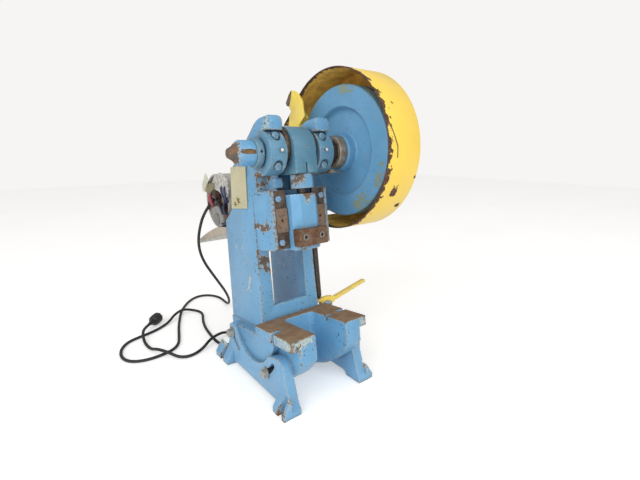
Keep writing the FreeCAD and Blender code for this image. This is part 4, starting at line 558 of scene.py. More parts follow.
def guard_sheet(name, paint, axis, left_edge, cracks, chips):
    """Enamelled sheet steel: glossy yellow outside, and inside a darker yellow for painted shade,
    with rust.

    To the eye: the free edge has lost its paint in ragged teeth of dark brown rust, a fine crack
    runs along behind them, and a few brown chips lie further back.
    """
    material, tree, shader, where = new_material(name)
    offset = node(
        tree, "ShaderNodeVectorMath", {0: where, 1: tuple(axis)}, operation="SUBTRACT"
    ).outputs[0]
    outward = node(
        tree, "ShaderNodeVectorMath", {0: offset, 1: (0.0, 1.0, 1.0), 2: (0.1, 0.0, 0.0)},
        operation="MULTIPLY_ADD",
    ).outputs[0]
    facing = node(
        tree, "ShaderNodeVectorMath",
        {0: node(tree, "ShaderNodeNewGeometry").outputs["True Normal"], 1: outward},
        operation="DOT_PRODUCT",
    ).outputs["Value"]
    inner = node(tree, "ShaderNodeMath", {0: facing, 1: 0.02}, operation="LESS_THAN").outputs[0]
    across = node(tree, "ShaderNodeSeparateXYZ", {0: where}).outputs[0]
    within = node(
        tree, "ShaderNodeMath", {0: across, 1: left_edge * MM}, operation="SUBTRACT"
    ).outputs[0]
    ragged = node(
        tree, "ShaderNodeTexNoise",
        {"Vector": where, "Scale": 58.0, "Detail": 4.0, "Roughness": 0.6},
    ).outputs[0]
    teeth = node(
        tree, "ShaderNodeMapRange",
        {
            "Value": ragged, "From Min": 0.38, "From Max": 0.68,
            "To Min": 0.5 * MM, "To Max": 19.0 * MM,
        },
    ).outputs[0]
    flaked = node(tree, "ShaderNodeMath", {0: within, 1: teeth}, operation="LESS_THAN").outputs[0]
    speckle = node(
        tree, "ShaderNodeTexNoise",
        {"Vector": where, "Scale": 150.0, "Detail": 4.0, "Roughness": 0.7},
    ).outputs[0]
    chipped = near(tree, where, chips)
    patch = node(tree, "ShaderNodeMath", {0: speckle, 1: chipped}, operation="ADD").outputs[0]
    lost = node(tree, "ShaderNodeMath", {0: patch, 1: 0.76}, operation="GREATER_THAN").outputs[0]
    lost = node(tree, "ShaderNodeMath", {0: lost, 1: flaked}, operation="MAXIMUM").outputs[0]
    for start, end in zip(cracks, cracks[1:]):
        line = node(
            tree, "ShaderNodeMath", {0: along(tree, where, start, end), 1: 1.5 * MM},
            operation="LESS_THAN",
        ).outputs[0]
        lost = node(tree, "ShaderNodeMath", {0: lost, 1: line}, operation="MAXIMUM").outputs[0]
    outside = mottled(tree, where, 70.0, 0.30, 0.70, toned(paint), toned(paint, 0.95))
    # painted shade: the inner faces take a darker, more orange yellow than the outside, with rust
    # streaks in it
    olive = mottled(tree, where, 26.0, 0.34, 0.62, hue("F6C254"), hue("D09C42"))
    inside = mottled(tree, where, 6.0, 0.62, 0.70, olive, hue("74502B"))
    brown = mottled(tree, where, 5.0, 0.40, 0.60, hue("6A4733"), hue("3F2A22"))
    colour = layered(tree, outside, (inner, inside), (lost, brown))
    tree.links.new(colour, shader.inputs["Base Color"])
    dull = node(tree, "ShaderNodeMath", {0: lost, 1: inner}, operation="MAXIMUM").outputs[0]
    roughen(tree, shader, dull, 0.36, 0.80)
    sunk = node(tree, "ShaderNodeMath", {0: lost, 1: -1.0}, operation="MULTIPLY").outputs[0]
    bump = node(tree, "ShaderNodeBump", {"Height": sunk, "Strength": 0.4, "Distance": 0.0003})
    tree.links.new(bump.outputs[0], shader.inputs["Normal"])
    return material


def rusted_steel(name, clean, brown, dark="3E342D", roughness=0.62, grain=6.0):
    """Machined steel left bare: a brown film of rust, darker stains and a few bright rubs."""
    material, tree, shader, where = new_material(name)
    film = blotches(tree, where, grain * 2.5, 0.32, 0.62)
    stains = blotches(tree, where, grain, 0.56, 0.72)
    stained = layered(tree, hue(clean), (film, hue(brown)), (stains, hue(dark)))
    tree.links.new(stained, shader.inputs["Base Color"])
    shader.inputs["Metallic"].default_value = 0.35
    roughen(tree, shader, film, roughness - 0.14, roughness + 0.12)
    pits = node(
        tree, "ShaderNodeTexNoise", {"Vector": where, "Scale": 900.0, "Detail": 3.0}
    ).outputs[0]
    bump = node(tree, "ShaderNodeBump", {"Height": pits, "Strength": 0.35, "Distance": 0.0003})
    tree.links.new(bump.outputs[0], shader.inputs["Normal"])
    return material


def oiled_steel(name, tone, worn=0.5, roughness=0.36):
    """Turned steel under old oil: nearly black, with bright scuffs on its arrises."""
    material, tree, shader, where = new_material(name)
    edge = arrises(tree, 3.0 * MM, 0.9, worn)
    cloud = node(
        tree, "ShaderNodeTexNoise", {"Vector": where, "Scale": 260.0, "Detail": 4.0}
    ).outputs[0]
    field = node(tree, "ShaderNodeMath", {0: cloud, 1: edge}, operation="ADD").outputs[0]
    scuff = node(
        tree, "ShaderNodeMapRange", {"Value": field, "From Min": 0.62, "From Max": 0.78}
    ).outputs[0]
    rusty = mottled(tree, where, 8.0, 0.52, 0.70, toned(tone), hue("5D4433"))
    colour = layered(tree, rusty, (scuff, hue("A39D95")))
    tree.links.new(colour, shader.inputs["Base Color"])
    shader.inputs["Metallic"].default_value = 0.75
    roughen(tree, shader, cloud, roughness - 0.08, roughness + 0.22, 0.3, 0.7)
    return material


def rubber(name, tone, roughness=0.55):
    """Moulded black rubber: an even dull sheen with dust on it."""
    material, tree, shader, where = new_material(name)
    dust = blotches(tree, where, 18.0, 0.35, 0.75)
    dusty = (*[part * 1.6 + 0.006 for part in tone], 1.0)
    colour = layered(tree, toned(tone), (dust, dusty))
    tree.links.new(colour, shader.inputs["Base Color"])
    roughen(tree, shader, dust, roughness - 0.08, roughness + 0.12)
    return material


def handled(name, tone, metallic=1.0, roughness=0.35, dim=0.82, size=14.0):
    """Plain metal, or paint and mouldings where metallic is low, lighter and duller by turns."""
    material, tree, shader, where = new_material(name)
    film = blotches(tree, where, size, 0.35, 0.68)
    colour = layered(tree, hue(tone), (film, toned(linear(tone), dim)))
    tree.links.new(colour, shader.inputs["Base Color"])
    shader.inputs["Metallic"].default_value = metallic
    roughen(tree, shader, film, roughness, roughness + 0.2)
    return material


# ------------------------------------------------------------------ mains cord
def lying(*points):
    """A route in millimetres; a point without a height lies on the table."""
    return [(*point, CORD_REST)[:3] for point in points]


HANG = lying(
    (-60.0, 301.0, 379.0), (-75.0, 311.0, 353.0), (-83.0, 324.0, 317.0), (-88.0, 333.0, 279.0),
    (-85.0, 338.0, 241.0), (-71.0, 345.0, 203.0), (-48.0, 355.0, 164.0), (-21.0, 369.0, 122.0),
    (4.0, 382.0, 82.0), (23.0, 400.0, 46.0), (34.0, 426.0, 17.0), (39.0, 458.0), (41.0, 486.0),
)
LAY = lying(
    (41.0, 486.0), (43.0, 514.0), (34.0, 551.0), (12.0, 578.0), (-19.0, 585.0), (-50.0, 568.0),
    (-80.0, 535.0), (-110.0, 490.0), (-132.0, 437.0), (-153.0, 383.0), (-171.0, 325.0),
    (-186.0, 280.0), (-207.0, 256.0), (-236.0, 247.0), (-270.0, 244.0), (-304.0, 254.0),
    (-324.0, 278.0), (-328.0, 313.0), (-318.0, 350.0), (-296.0, 377.0), (-264.0, 388.0),
    (-232.0, 395.0), (-198.0, 410.0), (-168.0, 430.0, 6.0), (-144.0, 451.0, 15.8),
    (-113.0, 476.0, 15.8), (-90.0, 479.0, 10.0), (-70.0, 468.0, 4.6), (-60.0, 446.0),
    (-63.0, 418.0), (-80.0, 375.0), (-92.0, 325.0), (-97.0, 276.0), (-100.0, 233.0),
    (-97.0, 206.0), (-83.0, 187.0), (-61.0, 182.0), (-41.0, 193.0), (-33.0, 214.0),
    (-41.0, 236.0, 5.5), (-59.0, 246.0, 11.0), (-80.0, 243.0, 15.8), (-117.0, 226.0, 15.8),
    (-140.0, 210.0, 8.0), (-166.0, 198.0), (-192.0, 195.0), (-213.0, 206.0, 7.0),
    (-229.0, 228.0, 15.8), (-247.0, 264.0, 15.8), (-256.0, 293.0, 5.5), (-260.0, 326.0),
    (-260.0, 352.0, 8.0), (-256.0, 376.0, 16.8), (-249.0, 398.0, 16.8), (-237.0, 417.0, 16.8),
    (-223.0, 431.0, 16.8),
)


def cord_curve(name, points, diameter):
    """One smooth round stretch of cord along its route."""
    curve = bpy.data.curves.new(name, "CURVE")
    curve.dimensions = "3D"
    curve.bevel_depth = diameter / 2.0
    curve.bevel_resolution = 5
    curve.resolution_u = 8
    curve.use_fill_caps = True
    spline = curve.splines.new("NURBS")
    spline.points.add(len(points) - 1)
    for place, point in zip(points, spline.points):
        point.co = (*[v * MM for v in place], 1.0)
    spline.order_u = 3
    spline.use_endpoint_u = True
    piece = bpy.data.objects.new(name, curve)
    bpy.context.scene.collection.objects.link(piece)
    return piece


class PRESS_OT_cord(bpy.types.Operator):
    """Mains cord: a stretch that hangs from the motor and a long loose lay on the table"""

    bl_idname = "press.cord"
    bl_label = "Mains cord"

    def execute(self, context):
        colours = context.scene.press_colours
        diameter = context.scene.press_form.cord_diameter
        black = rubber("cord_rubber", colours.cord)
        hang = cord_curve("cord_hanging", HANG, diameter)
        lay = cord_curve("cord_lying", LAY, diameter)
        for piece in (hang, lay):
            piece.data.materials.append(black)
        for name in ("plug", "cord_grommet"):
            dress(name, 0.6, black)
        dress("plug_contacts", 0.3, handled("plug_brass", "C9B98C", roughness=0.28))
        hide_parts("cord_hang")
        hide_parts("cord_lay")
        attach(hang, "upright")
        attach(lay, "stand")
        return {"FINISHED"}


# ------------------------------------------------------------------ painted castings
class PRESS_OT_castings(bpy.types.Operator):
    """Legs, frame, bearing caps and the flywheel in worn blue enamel"""

    bl_idname = "press.castings"
    bl_label = "Painted castings"

    def execute(self, context):
        paint = tuple(context.scene.press_colours.blue)
        arris = context.scene.press_form.cast_arris
        up = LEAN.to_3x3() @ Vector((0.0, 0.0, 1.0))
        frame_places = spots(
            (-76.0, -14.0, 155.0, 10.0, 0.26), (-62.0, -14.0, 130.0, 16.0, 0.30),
            (-73.0, -25.0, 121.0, 12.0, 0.22), (-58.0, -91.0, 216.0, 9.0, 0.30),
            (-72.0, -42.0, 213.0, 15.0, 0.42), (-72.0, -66.0, 215.0, 13.0, 0.40),
            (-72.0, -21.0, 217.0, 11.0, 0.36), (-74.0, 27.0, 98.0, 12.0, 0.20),
            (-73.0, 62.0, 56.0, 14.0, 0.22), (-68.0, -60.0, 318.0, 17.0, 0.38),
            (-40.0, -60.0, 316.0, 12.0, 0.34), (-66.0, -60.0, 330.0, 20.0, 0.26),
            (-62.0, -48.0, 305.0, 18.0, 0.34), (-62.0, -14.0, 141.0, 10.0, 0.30),
            (-53.0, -14.0, 135.0, 7.0, 0.28), (-54.0, -14.0, 112.0, 10.0, 0.32),
            (-88.0, -160.0, -14.0, 22.0, 0.24), (90.0, -160.0, -14.0, 18.0, 0.16),
            (-76.0, -60.0, 436.0, 16.0, 0.24), (-30.0, -160.0, -20.0, 12.0, 0.16),
        )
        pale_places = spots(
            (-101.0, -146.0, -14.0, 17.0, 0.30), (-101.0, -118.0, -14.0, 17.0, 0.26),
            (-101.0, -92.0, -14.0, 15.0, 0.24), (-94.0, -160.0, -14.0, 15.0, 0.28),
            (-74.0, -160.0, -12.0, 15.0, 0.28), (-56.0, -160.0, -12.0, 13.0, 0.26),
            (-90.0, -160.0, -36.0, 13.0, 0.20), (100.0, -158.0, -14.0, 16.0, 0.26),
            (102.0, -130.0, -14.0, 16.0, 0.22), (-76.0, -105.0, 420.0, 16.0, 0.20),
            (-73.0, 36.0, 82.0, 16.0, 0.26), (-73.0, 40.0, 62.0, 12.0, 0.26),
            (-73.0, 59.0, 164.0, 12.0, 0.22), (-73.0, 90.0, 162.0, 12.0, 0.22),
            (46.0, 80.0, 90.0, 60.0, 0.10),
        )
        frame_finish = worn_enamel(
            "frame_enamel", paint, places=frame_places, pale=pale_places, specks=0.14,
            bare_top=(leaned(0.0, -90.0, -5.0), up, 1.6),
        )
        finish(rounded("press_frame", arris), frame_finish)
        leg_places = [
            (Vector((-0.095, -0.150, 0.080)), 12.0, 0.26),
            (Vector((-0.090, -0.162, 0.050)), 12.0, 0.26),
            (Vector((-0.124, -0.147, 0.008)), 18.0, 0.30),
            (Vector((-0.124, 0.131, 0.008)), 16.0, 0.26),
            (Vector((0.124, -0.147, 0.008)), 20.0, 0.32),
            (Vector((0.124, 0.131, 0.008)), 16.0, 0.26),
        ]
        # the legs take a lighter copy of the castings' blue, painted light for the table's bounce,
        # and a broad pale rim on their edges that is worn undercoat and a painted highlight along
        # the arc ribs
        leg_finish = worn_enamel(
            "leg_enamel", linear("74AAD2"), edge_wear=0.24, places=leg_places, pale_edge=0.5,
            specks=0.05,
        )
        for name in ("left_leg", "right_leg"):
            finish(rounded(name, arris), leg_finish)
        cap_finish = worn_enamel(
            "cap_enamel", linear("5E90AE"), edge_wear=0.20, chip_size=5.0, specks=0.10,
        )
        for name in ("left_bearing_cap", "right_bearing_cap"):
            finish(rounded(name, arris * 0.6), cap_finish)
        dress("cap_bolts", 0.8, cap_finish)
        worn_rim = spots(
            (136.0, -90.0, 505.0, 12.0, 0.26), (136.0, -108.0, 502.0, 15.0, 0.28),
            (136.0, -128.0, 495.0, 12.0, 0.26), (136.0, -203.0, 326.0, 12.0, 0.26),
            (136.0, -194.0, 304.0, 14.0, 0.28), (136.0, -190.0, 285.0, 12.0, 0.26),
            (136.0, -150.0, 262.0, 24.0, 0.24), (136.0, -122.0, 246.0, 22.0, 0.28),
        )
        wheel_finish = worn_enamel(
            "wheel_enamel", paint, edge_wear=0.20, chip_size=9.0, pale=worn_rim, under="8F9B84",
            specks=0.08,
        )
        finish("flywheel", wheel_finish)
        return {"FINISHED"}


class PRESS_OT_crank(bpy.types.Operator):
    """Crankshaft, its bearings' rings, the connecting rod and the ball screw"""

    bl_idname = "press.crank"
    bl_label = "Crank and rod"

    def execute(self, context):
        colours = context.scene.press_colours
        paint = tuple(colours.blue)
        dark = oiled_steel("oiled_steel", colours.steel)
        keyway = [(x, -101.0, 368.0, 4.5, 0.55) for x in (-127.0, -122.0, -117.0, -112.0, -107.0)]
        stub = spots((-134.0, -75.0, 367.0, 24.0, 0.60), *keyway)
        tip = spots((-149.0, -75.0, 367.0, 14.0, 0.60))
        shaft_finish = worn_enamel(
            "shaft_enamel", paint, edge_wear=0.10, chip_size=5.0, places=stub, pale=tip,
            steel_beyond=-82.0,
        )
        dress("crankshaft", 0.5, shaft_finish)
        dress("shaft_collar", 0.5, worn_enamel(
            "collar_enamel", linear("688EA2"), edge_wear=0.12, chip_size=4.0,
        ))
        bronze = rusted_steel("dull_bronze", "93713F", "6F5233", "3A2A1E", roughness=0.5, grain=4.0)
        for name in ("shaft_key", "thrust_rings", "crank_bushes"):
            finish(name, bronze)
        rod_places = spots((8.0, -126.0, 375.0, 4.0, 0.25), (10.0, -126.0, 330.0, 8.0, 0.18))
        dress("connecting_rod", 1.6, worn_enamel(
            "rod_enamel", linear("56869F"), edge_wear=0.16, chip_size=5.0, places=rod_places,
        ))
        nut_places = spots(
            (-14.0, -122.0, 314.0, 16.0, 0.34), (-22.0, -104.0, 304.0, 14.0, 0.30),
            (16.0, -118.0, 318.0, 10.0, 0.24),
        )
        dress("adjusting_nut", 1.4, worn_enamel(
            "nut_enamel", paint, edge_wear=0.30, chip_size=5.0, places=nut_places, soil_and_shade=0.8,
        ))
        dress("ball_screw", 0.5, dark)
        dress("clutch_sleeve", 0.7, dark)
        drum = rusted_steel("scuffed_steel", "B0A699", "927F6C", "574A40", 0.46, grain=5.0)
        for name in ("clutch_collar", "clutch_latch"):
            dress(name, 0.7, drum)
        dress("end_washer", 0.4, dark)
        finish("oil_cups", handled("pale_nickel", "D8D8D2", roughness=0.3))
        return {"FINISHED"}


class PRESS_OT_slide(bpy.types.Operator):
    """Ram, its guide strips and the die clamp"""

    bl_idname = "press.slide"
    bl_label = "Ram and guides"

    def execute(self, context):
        colours = context.scene.press_colours
        ram_places = spots(
            (-20.0, -119.0, 168.0, 12.0, 0.15), (20.0, -115.0, 279.0, 14.0, 0.30),
            (-4.0, -119.0, 279.0, 12.0, 0.26), (30.0, -106.0, 276.0, 12.0, 0.26),
        )
        dress("ram", 1.2, worn_enamel(
            "ram_enamel", tuple(colours.blue), edge_wear=0.24, chip_size=5.0, places=ram_places,
        ))
        dress("die_clamp", 1.0, rusted_steel("clamp_rust", "7A6653", "6E4A33", "2E2622", grain=5.0))
        dress("die_clamp_screws", 0.4, oiled_steel("screw_steel", colours.steel))
        dress("gib_strips", 0.4, rusted_steel(
            "strip_steel", "6B6258", "5A4436", "2B2521", grain=7.0,
        ))
        dress("gib_plates", 0.6, rusted_steel("brown_steel", "857567", "8C705A"))
        dress("gib_screws", 0.7, worn_enamel(
            "screw_enamel", linear("4F95D2"), edge_wear=0.2, chip_size=3.0,
        ))
        return {"FINISHED"}


# ------------------------------------------------------------------ wheel guard
# the flat stay beside the guard's rear end and its curled tip, as (y, z) on the upright frame
STAY = [(48.2, 534.2), (-7.5, 456.0), (24.0, 440.0), (38.1, 449.9), (56.2, 480.2), (67.4, 497.2)]
CURL = [(50.0, 533.5), (61.0, 527.0), (77.5, 509.5), (75.0, 502.0), (66.5, 498.5), (57.0, 513.0)]


class PRESS_OT_guard(bpy.types.Operator):
    """Sheet guard over the flywheel with its strap and bolts"""

    bl_idname = "press.guard"
    bl_label = "Wheel guard"

    def execute(self, context):
        paint = tuple(context.scene.press_colours.yellow)
        crack = [leaned(*place) for place in (
            (108.7, -250.3, 413.5), (116.0, -253.0, 396.0), (124.0, -254.9, 375.6),
            (132.0, -254.5, 356.0), (132.7, -251.6, 335.4),
        )]
        chips = spots(
            (140.3, -239.7, 444.1, 6.0, 0.34), (120.0, -250.0, 413.0, 4.0, 0.30),
            (112.0, -254.0, 392.0, 12.0, 0.26), (112.0, -255.0, 366.0, 13.0, 0.28),
            (112.0, -252.0, 340.0, 13.0, 0.26), (110.0, -240.5, 298.0, 15.0, 0.34),
            (108.0, -236.0, 288.0, 12.0, 0.34), (150.0, -226.0, 271.0, 14.0, 0.34),
            (147.0, -219.0, 261.0, 12.0, 0.34), (190.0, -197.0, 237.0, 9.0, 0.34),
            (187.0, -193.0, 233.0, 8.0, 0.34), (200.9, -239.7, 296.0, 7.0, 0.32),
            (116.0, -228.0, 465.0, 10.0, 0.24),
        )
        axis = leaned(0.0, *GUARD_AXIS)
        sheet_finish = guard_sheet("guard_enamel", paint, axis, GUARD_LEFT, crack, chips)
        dress("flywheel_guard", 0.6, sheet_finish)
        # painted light: the strap and stay take a paler, brighter yellow than the guard, for their
        # face turned to the light
        strap_finish = worn_enamel(
            "strap_enamel", linear("FFE066"), edge_wear=0.05, chip_size=9.0, soil_and_shade=0.2,
            under="8A6B3A", edge_reach=2.5, pale_edge=0.0,
        )
        dress("guard_bracket", 0.5, strap_finish)
        self.tail(sheet_finish)
        strap = flat_piece("guard_stay", 100.6, 3.0, STAY)
        finish(strap, strap_finish)
        curl = flat_piece("guard_stay_curl", 99.0, 3.0, CURL)
        finish(curl, rusted_steel("curl_rust", "7D6D60", "6B5546", "3E342D"))
        dress("strap_bolts", 0.7, handled("zinc", "A9A79F", roughness=0.4))
        return {"FINISHED"}

    def tail(self, material):
        """The band's rear end, which runs on above the belt and flares out."""
        outer, inner = [
            [on_circle(GUARD_AXIS, radius, angle) for angle in (54.8, 52.0, 49.0, 46.0, 43.0)]
            for radius in (GUARD_RADIUS, GUARD_RADIUS - GUARD_SHEET)
        ]
        rim = [*outer, (107.0, 460.0), (105.6, 457.9), *reversed(inner)]
        tail = flat_piece("guard_tail", GUARD_LEFT, TAIL_WIDTH, rim, arris=0.3)
        finish(tail, material)


class PRESS_OT_trip(bpy.types.Operator):
    """Trip lever with its bracket, the upright rod and its guide"""

    bl_idname = "press.trip"
    bl_label = "Trip linkage"

    def execute(self, context):
        colours = context.scene.press_colours
        blue = tuple(colours.blue)
        dress("trip_lever", 1.4, worn_enamel(
            "lever_enamel", tuple(colours.yellow), edge_wear=0.18, chip_size=5.0,
        ))
        finish("trip_rod", oiled_steel("rod_steel", colours.steel, worn=0.2, roughness=0.42))
        dress("rod_guide", 1.0, worn_enamel("guide_enamel", blue, edge_wear=0.2))
        dress("lever_bracket", 0.8, worn_enamel("bracket_enamel", blue, edge_wear=0.25))
        dress("tilt_bolts", 0.8, handled("worn_zinc", "B7B4AC", roughness=0.42))
        return {"FINISHED"}


class PRESS_OT_motor(bpy.types.Operator):
    """Motor with its open end, pulley, belt and the plate that carries it"""

    bl_idname = "press.motor"
    bl_label = "Motor and belt"

    def execute(self, context):
        colours = context.scene.press_colours
        shell = worn_enamel(
            "motor_paint", tuple(colours.motor), edge_wear=0.10, chip_size=9.0, soil_and_shade=0.8,
            gloss=0.5,
        )
        for name in ("motor_shell", "motor_foot"):
            dress(name, 0.9, shell)
        dress("motor_plate", 0.8, worn_enamel(
            "plate_paint", linear("BDB6A6"), edge_wear=0.2, chip_size=6.0, soil_and_shade=0.5,
        ))
        winding = rusted_steel("copper_winding", "6C402C", "4C3024", "241913", grain=3.0)
        finish("motor_stator", winding)
        finish("motor_shaft", handled("shaft_steel", "8B8780", roughness=0.35))
        finish("motor_pulley", handled("pulley_iron", "6C6A66", roughness=0.5))
        self.open_end()
        finish("motor_capacitor", handled("capacitor_can", "8F9296", metallic=0.6, roughness=0.4))
        finish("drive_belt", rubber("belt_rubber", linear("222120"), roughness=0.7))
        dress("plate_bolts", 0.7, handled("plate_zinc", "A9A79F", roughness=0.4))
        plate_wear = spots((-75.0, 50.0, 272.0, 13.0, 0.22), (-75.0, 72.0, 268.0, 9.0, 0.24))
        finish("blank_plate", worn_enamel(
            "pale_plate", linear("C6BF9C"), edge_wear=0.05, chip_size=6.0, places=plate_wear,
            soil_and_shade=0.4, under="BDBB6E", specks=0.08,
        ))
        return {"FINISHED"}

    def open_end(self):
        """End frame, cover tab and lug, can, terminal block, leads and the plate's web."""
        parts = (
            ("end_frame", -65.0, 5.0, 1.0, [
                (202.0, 341.0), (186.0, 345.0), (169.0, 347.0), (140.0, 341.0), (126.0, 330.0),
                (124.0, 300.0), (135.0, 283.0), (155.0, 281.0), (181.0, 299.0), (212.0, 308.0),
                (220.0, 326.0),
            ], handled(
                "cast_aluminium", "DCD8D2", metallic=0.35, roughness=0.45, dim=0.45, size=7.0,
            )),
            ("cover_tab", -67.0, 2.5, 0.5, [
                (255.0, 353.0), (245.0, 341.0), (255.0, 319.0), (269.0, 302.0), (287.0, 305.0),
                (286.0, 325.0), (270.0, 340.0),
            ], handled("cream_paint", "D3D3BE", metallic=0.0, roughness=0.5, dim=0.85)),
            ("cover_lug", -69.0, 8.0, 1.5, [
                (252.0, 321.0), (221.0, 325.0), (202.0, 320.0), (212.0, 306.0), (238.0, 296.0),
                (266.0, 305.0),
            ], handled("olive_lug", "948C6E", metallic=0.0, roughness=0.6, dim=0.6, size=9.0)),
            ("can_cover", -70.0, 10.5, 3.0, [
                (238.0, 236.0), (234.0, 221.0), (220.0, 210.0), (203.0, 206.0), (182.0, 208.0),
                (166.0, 218.0), (163.0, 240.0), (167.0, 257.0), (200.0, 264.0), (232.0, 258.0),
            ], handled("grey_can", "949390", metallic=0.1, roughness=0.5, dim=0.85, size=20.0)),
            ("can_end", -72.5, 3.0, 1.0, [
                on_circle((200.0, 229.0), 16.0, 18.0 * step) for step in range(20)
            ], handled("grey_can_end", "858380", metallic=0.2, roughness=0.45, dim=0.8)),
            ("terminal_block", -69.0, 6.0, 0.8, [
                (160.0, 242.0), (137.0, 240.0), (137.0, 228.0), (161.0, 230.0),
            ], handled("brown_moulding", "6B4238", metallic=0.0, roughness=0.5, dim=0.5, size=5.0)),
            ("plate_web", -70.0, 4.0, 0.5, [
                (350.0, 167.0), (282.0, 189.0), (251.0, 197.0), (206.0, 207.0), (152.0, 208.0),
                (152.0, 186.0), (223.0, 177.5), (350.0, 160.5),
            ], handled("web_paint", "BBAF9F", metallic=0.0, roughness=0.6, dim=0.88, size=16.0)),
        )
        for name, left, thickness, arris, corners, material in parts:
            finish(flat_piece(name, left, thickness, corners, arris), material)
        self.leads()

    def leads(self):
        """Loose leads of the winding, hanging in the open end."""
        runs = {
            "lead_boot": ("8E3B44", 9.0, [
                (-62.0, 240.0, 296.0), (-70.0, 235.0, 290.0), (-72.0, 229.0, 277.0),
                (-66.0, 226.0, 262.0),
            ]),
            "lead_navy_left": ("34385A", 5.5, [
                (-60.0, 163.0, 314.0), (-69.0, 159.0, 309.0), (-70.0, 152.0, 293.0),
                (-69.0, 149.0, 280.0), (-60.0, 150.0, 272.0),
            ]),
            "lead_navy_right": ("2D3050", 5.5, [
                (-60.0, 144.0, 313.0), (-69.0, 140.0, 307.0), (-70.0, 135.0, 291.0),
                (-69.0, 137.0, 279.0), (-60.0, 142.0, 272.0),
            ]),
            "lead_black": ("1F1E20", 6.5, [
                (-60.0, 206.0, 282.0), (-70.0, 198.0, 278.0), (-72.0, 177.0, 272.0),
                (-71.0, 168.0, 257.0), (-68.0, 164.0, 240.0),
            ]),
            "lead_navy_low": ("1E2444", 7.0, [
                (-62.0, 154.0, 270.0), (-70.0, 152.0, 262.0), (-71.0, 151.0, 250.0),
                (-66.0, 150.0, 238.0),
            ]),
            "lead_navy_foot": ("23284A", 5.0, [
                (-62.0, 184.0, 220.0), (-70.0, 177.0, 217.0), (-70.0, 160.0, 215.0),
                (-62.0, 150.0, 217.0),
            ]),
        }
        for name, (code, thickness, places) in runs.items():
            route = [tuple(leaned(*place) / MM) for place in places]
            lead = cord_curve(name, route, thickness * MM)
            lead.data.materials.append(rubber(name + "_sleeve", linear(code), roughness=0.45))
            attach(lead, "upright")


# ------------------------------------------------------------------ stage
class PRESS_OT_stage(bpy.types.Operator):
    """Camera at the viewing angle, a white table and soft room light"""

    bl_idname = "press.stage"
    bl_label = "Stage"

    def execute(self, context):
        scene = context.scene
        stage = scene.press_stage
        deselect()
        bpy.ops.object.camera_add(location=stage.camera)
        camera = context.active_object
        camera.name = "viewing_camera"
        camera.data.sensor_width = 36.0
        camera.data.lens = stage.lens
        camera.data.clip_start = 0.01
        level = math.cos(stage.pitch)
        forward = Vector((
            -math.sin(stage.azimuth) * level, math.cos(stage.azimuth) * level,
            math.sin(stage.pitch),
        ))
        camera.rotation_mode = "QUATERNION"
        camera.rotation_quaternion = (
            Quaternion(forward, stage.roll) @ forward.to_track_quat("-Z", "Y")
        )
        scene.camera = camera
        bpy.ops.mesh.primitive_plane_add(size=12.0, location=(0.0, 0.0, 0.0))
        table = context.active_object
        table.name = "white_table"
        table.data.materials.append(table_top())
        soft_lamp("window_left", (-2.6, -1.0, 2.2), 2.4, 42.0)
        soft_lamp("window_front", (0.6, -3.0, 2.6), 2.4, 32.0)
        soft_lamp("window_low", (-1.5, -2.3, 0.7), 1.6, 11.0)
        room(scene, stage.room_light)
        scene.view_settings.view_transform = "Standard"
        return {"FINISHED"}


def table_top():
    """Smooth white laminate: bright and nearly even, with a faint sheen."""
    material, tree, shader, where = new_material("white_laminate")
    tone = mottled(tree, where, 400.0, 0.3, 0.7, hue("F6F5F3"), hue("FBFAF8"))
    tree.links.new(tone, shader.inputs["Base Color"])
    shader.inputs["Roughness"].default_value = 0.6
    # the table is near white to the eye and in reflections, and its light on the press stays plain
    path = node(tree, "ShaderNodeLightPath")
    seen = node(
        tree, "ShaderNodeMath",
        {0: path.outputs["Is Camera Ray"], 1: path.outputs["Is Glossy Ray"]}, operation="MAXIMUM",
    ).outputs[0]
    lift = node(tree, "ShaderNodeMath", {0: seen, 1: 0.34}, operation="MULTIPLY").outputs[0]
    shader.inputs["Emission Color"].default_value = hue("FFFFFF")
    tree.links.new(lift, shader.inputs["Emission Strength"])
    return material


def soft_lamp(name, place, size, power):
    """A square lamp turned to the press."""
    bpy.ops.object.light_add(type="AREA", location=place)
    lamp = bpy.context.active_object
    lamp.name = name
    lamp.data.size = size
    lamp.data.energy = power
    target = Vector((0.0, 0.0, 0.35)) - Vector(place)
    lamp.rotation_mode = "QUATERNION"
    lamp.rotation_quaternion = target.to_track_quat("-Z", "Y")


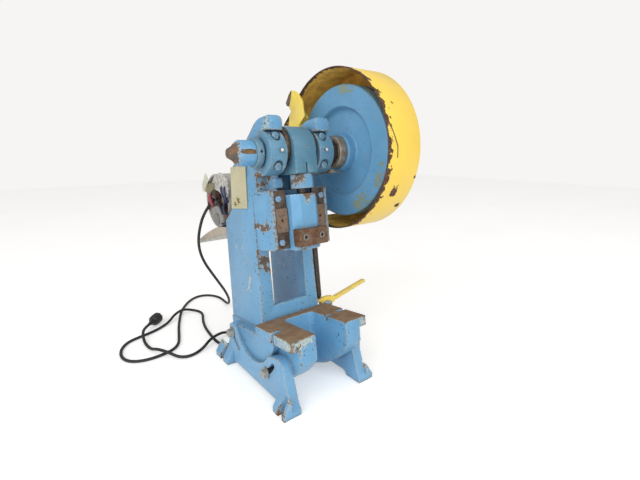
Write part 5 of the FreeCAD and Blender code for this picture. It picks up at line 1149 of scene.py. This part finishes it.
def room(scene, strength):
    """White to the camera and through clear things; an even room light on surfaces."""
    world = bpy.data.worlds.new("pale_room")
    scene.world = world
    world.use_nodes = True
    tree = world.node_tree
    tree.nodes.clear()
    path = node(tree, "ShaderNodeLightPath").outputs
    seen = node(
        tree, "ShaderNodeMath",
        {0: path["Is Camera Ray"], 1: path["Is Transmission Ray"]}, operation="MAXIMUM",
    ).outputs[0]
    lit = node(tree, "ShaderNodeBackground", {"Color": hue("F4F3F2"), "Strength": strength})
    plain = node(tree, "ShaderNodeBackground", {"Color": hue("F6F5F4"), "Strength": 1.0})
    both = node(
        tree, "ShaderNodeMixShader", {0: seen, 1: lit.outputs[0], 2: plain.outputs[0]}
    )
    node(tree, "ShaderNodeOutputWorld", {"Surface": both.outputs[0]})


# ------------------------------------------------------------------ add-on
class PRESS_PT_panel(bpy.types.Panel):
    """Lists the steps that dress the press"""

    bl_label = "Stamping press"
    bl_idname = "PRESS_PT_panel"
    bl_space_type = "VIEW_3D"
    bl_region_type = "UI"
    bl_category = "Press"

    def draw(self, context):
        for step in STEPS:
            self.layout.operator(step.bl_idname)
        for group_name, kind in GROUPS.items():
            for name in kind.__annotations__:
                self.layout.prop(getattr(context.scene, group_name), name)


STEPS = (
    PRESS_OT_stage,
    PRESS_OT_cord,
    PRESS_OT_castings,
    PRESS_OT_crank,
    PRESS_OT_slide,
    PRESS_OT_guard,
    PRESS_OT_trip,
    PRESS_OT_motor,
)
GROUPS = {"press_colours": PressColours, "press_form": PressForm, "press_stage": PressStage}


def register():
    for kind in (*GROUPS.values(), *STEPS, PRESS_PT_panel):
        bpy.utils.register_class(kind)
    for name, kind in GROUPS.items():
        setattr(bpy.types.Scene, name, PointerProperty(type=kind))


def unregister():
    for name in GROUPS:
        delattr(bpy.types.Scene, name)
    for kind in reversed((*GROUPS.values(), *STEPS, PRESS_PT_panel)):
        bpy.utils.unregister_class(kind)


def main():
    register()
    for step in STEPS:
        group, name = step.bl_idname.split(".")
        getattr(getattr(bpy.ops, group), name)()


if __name__ == "__main__":
    main()
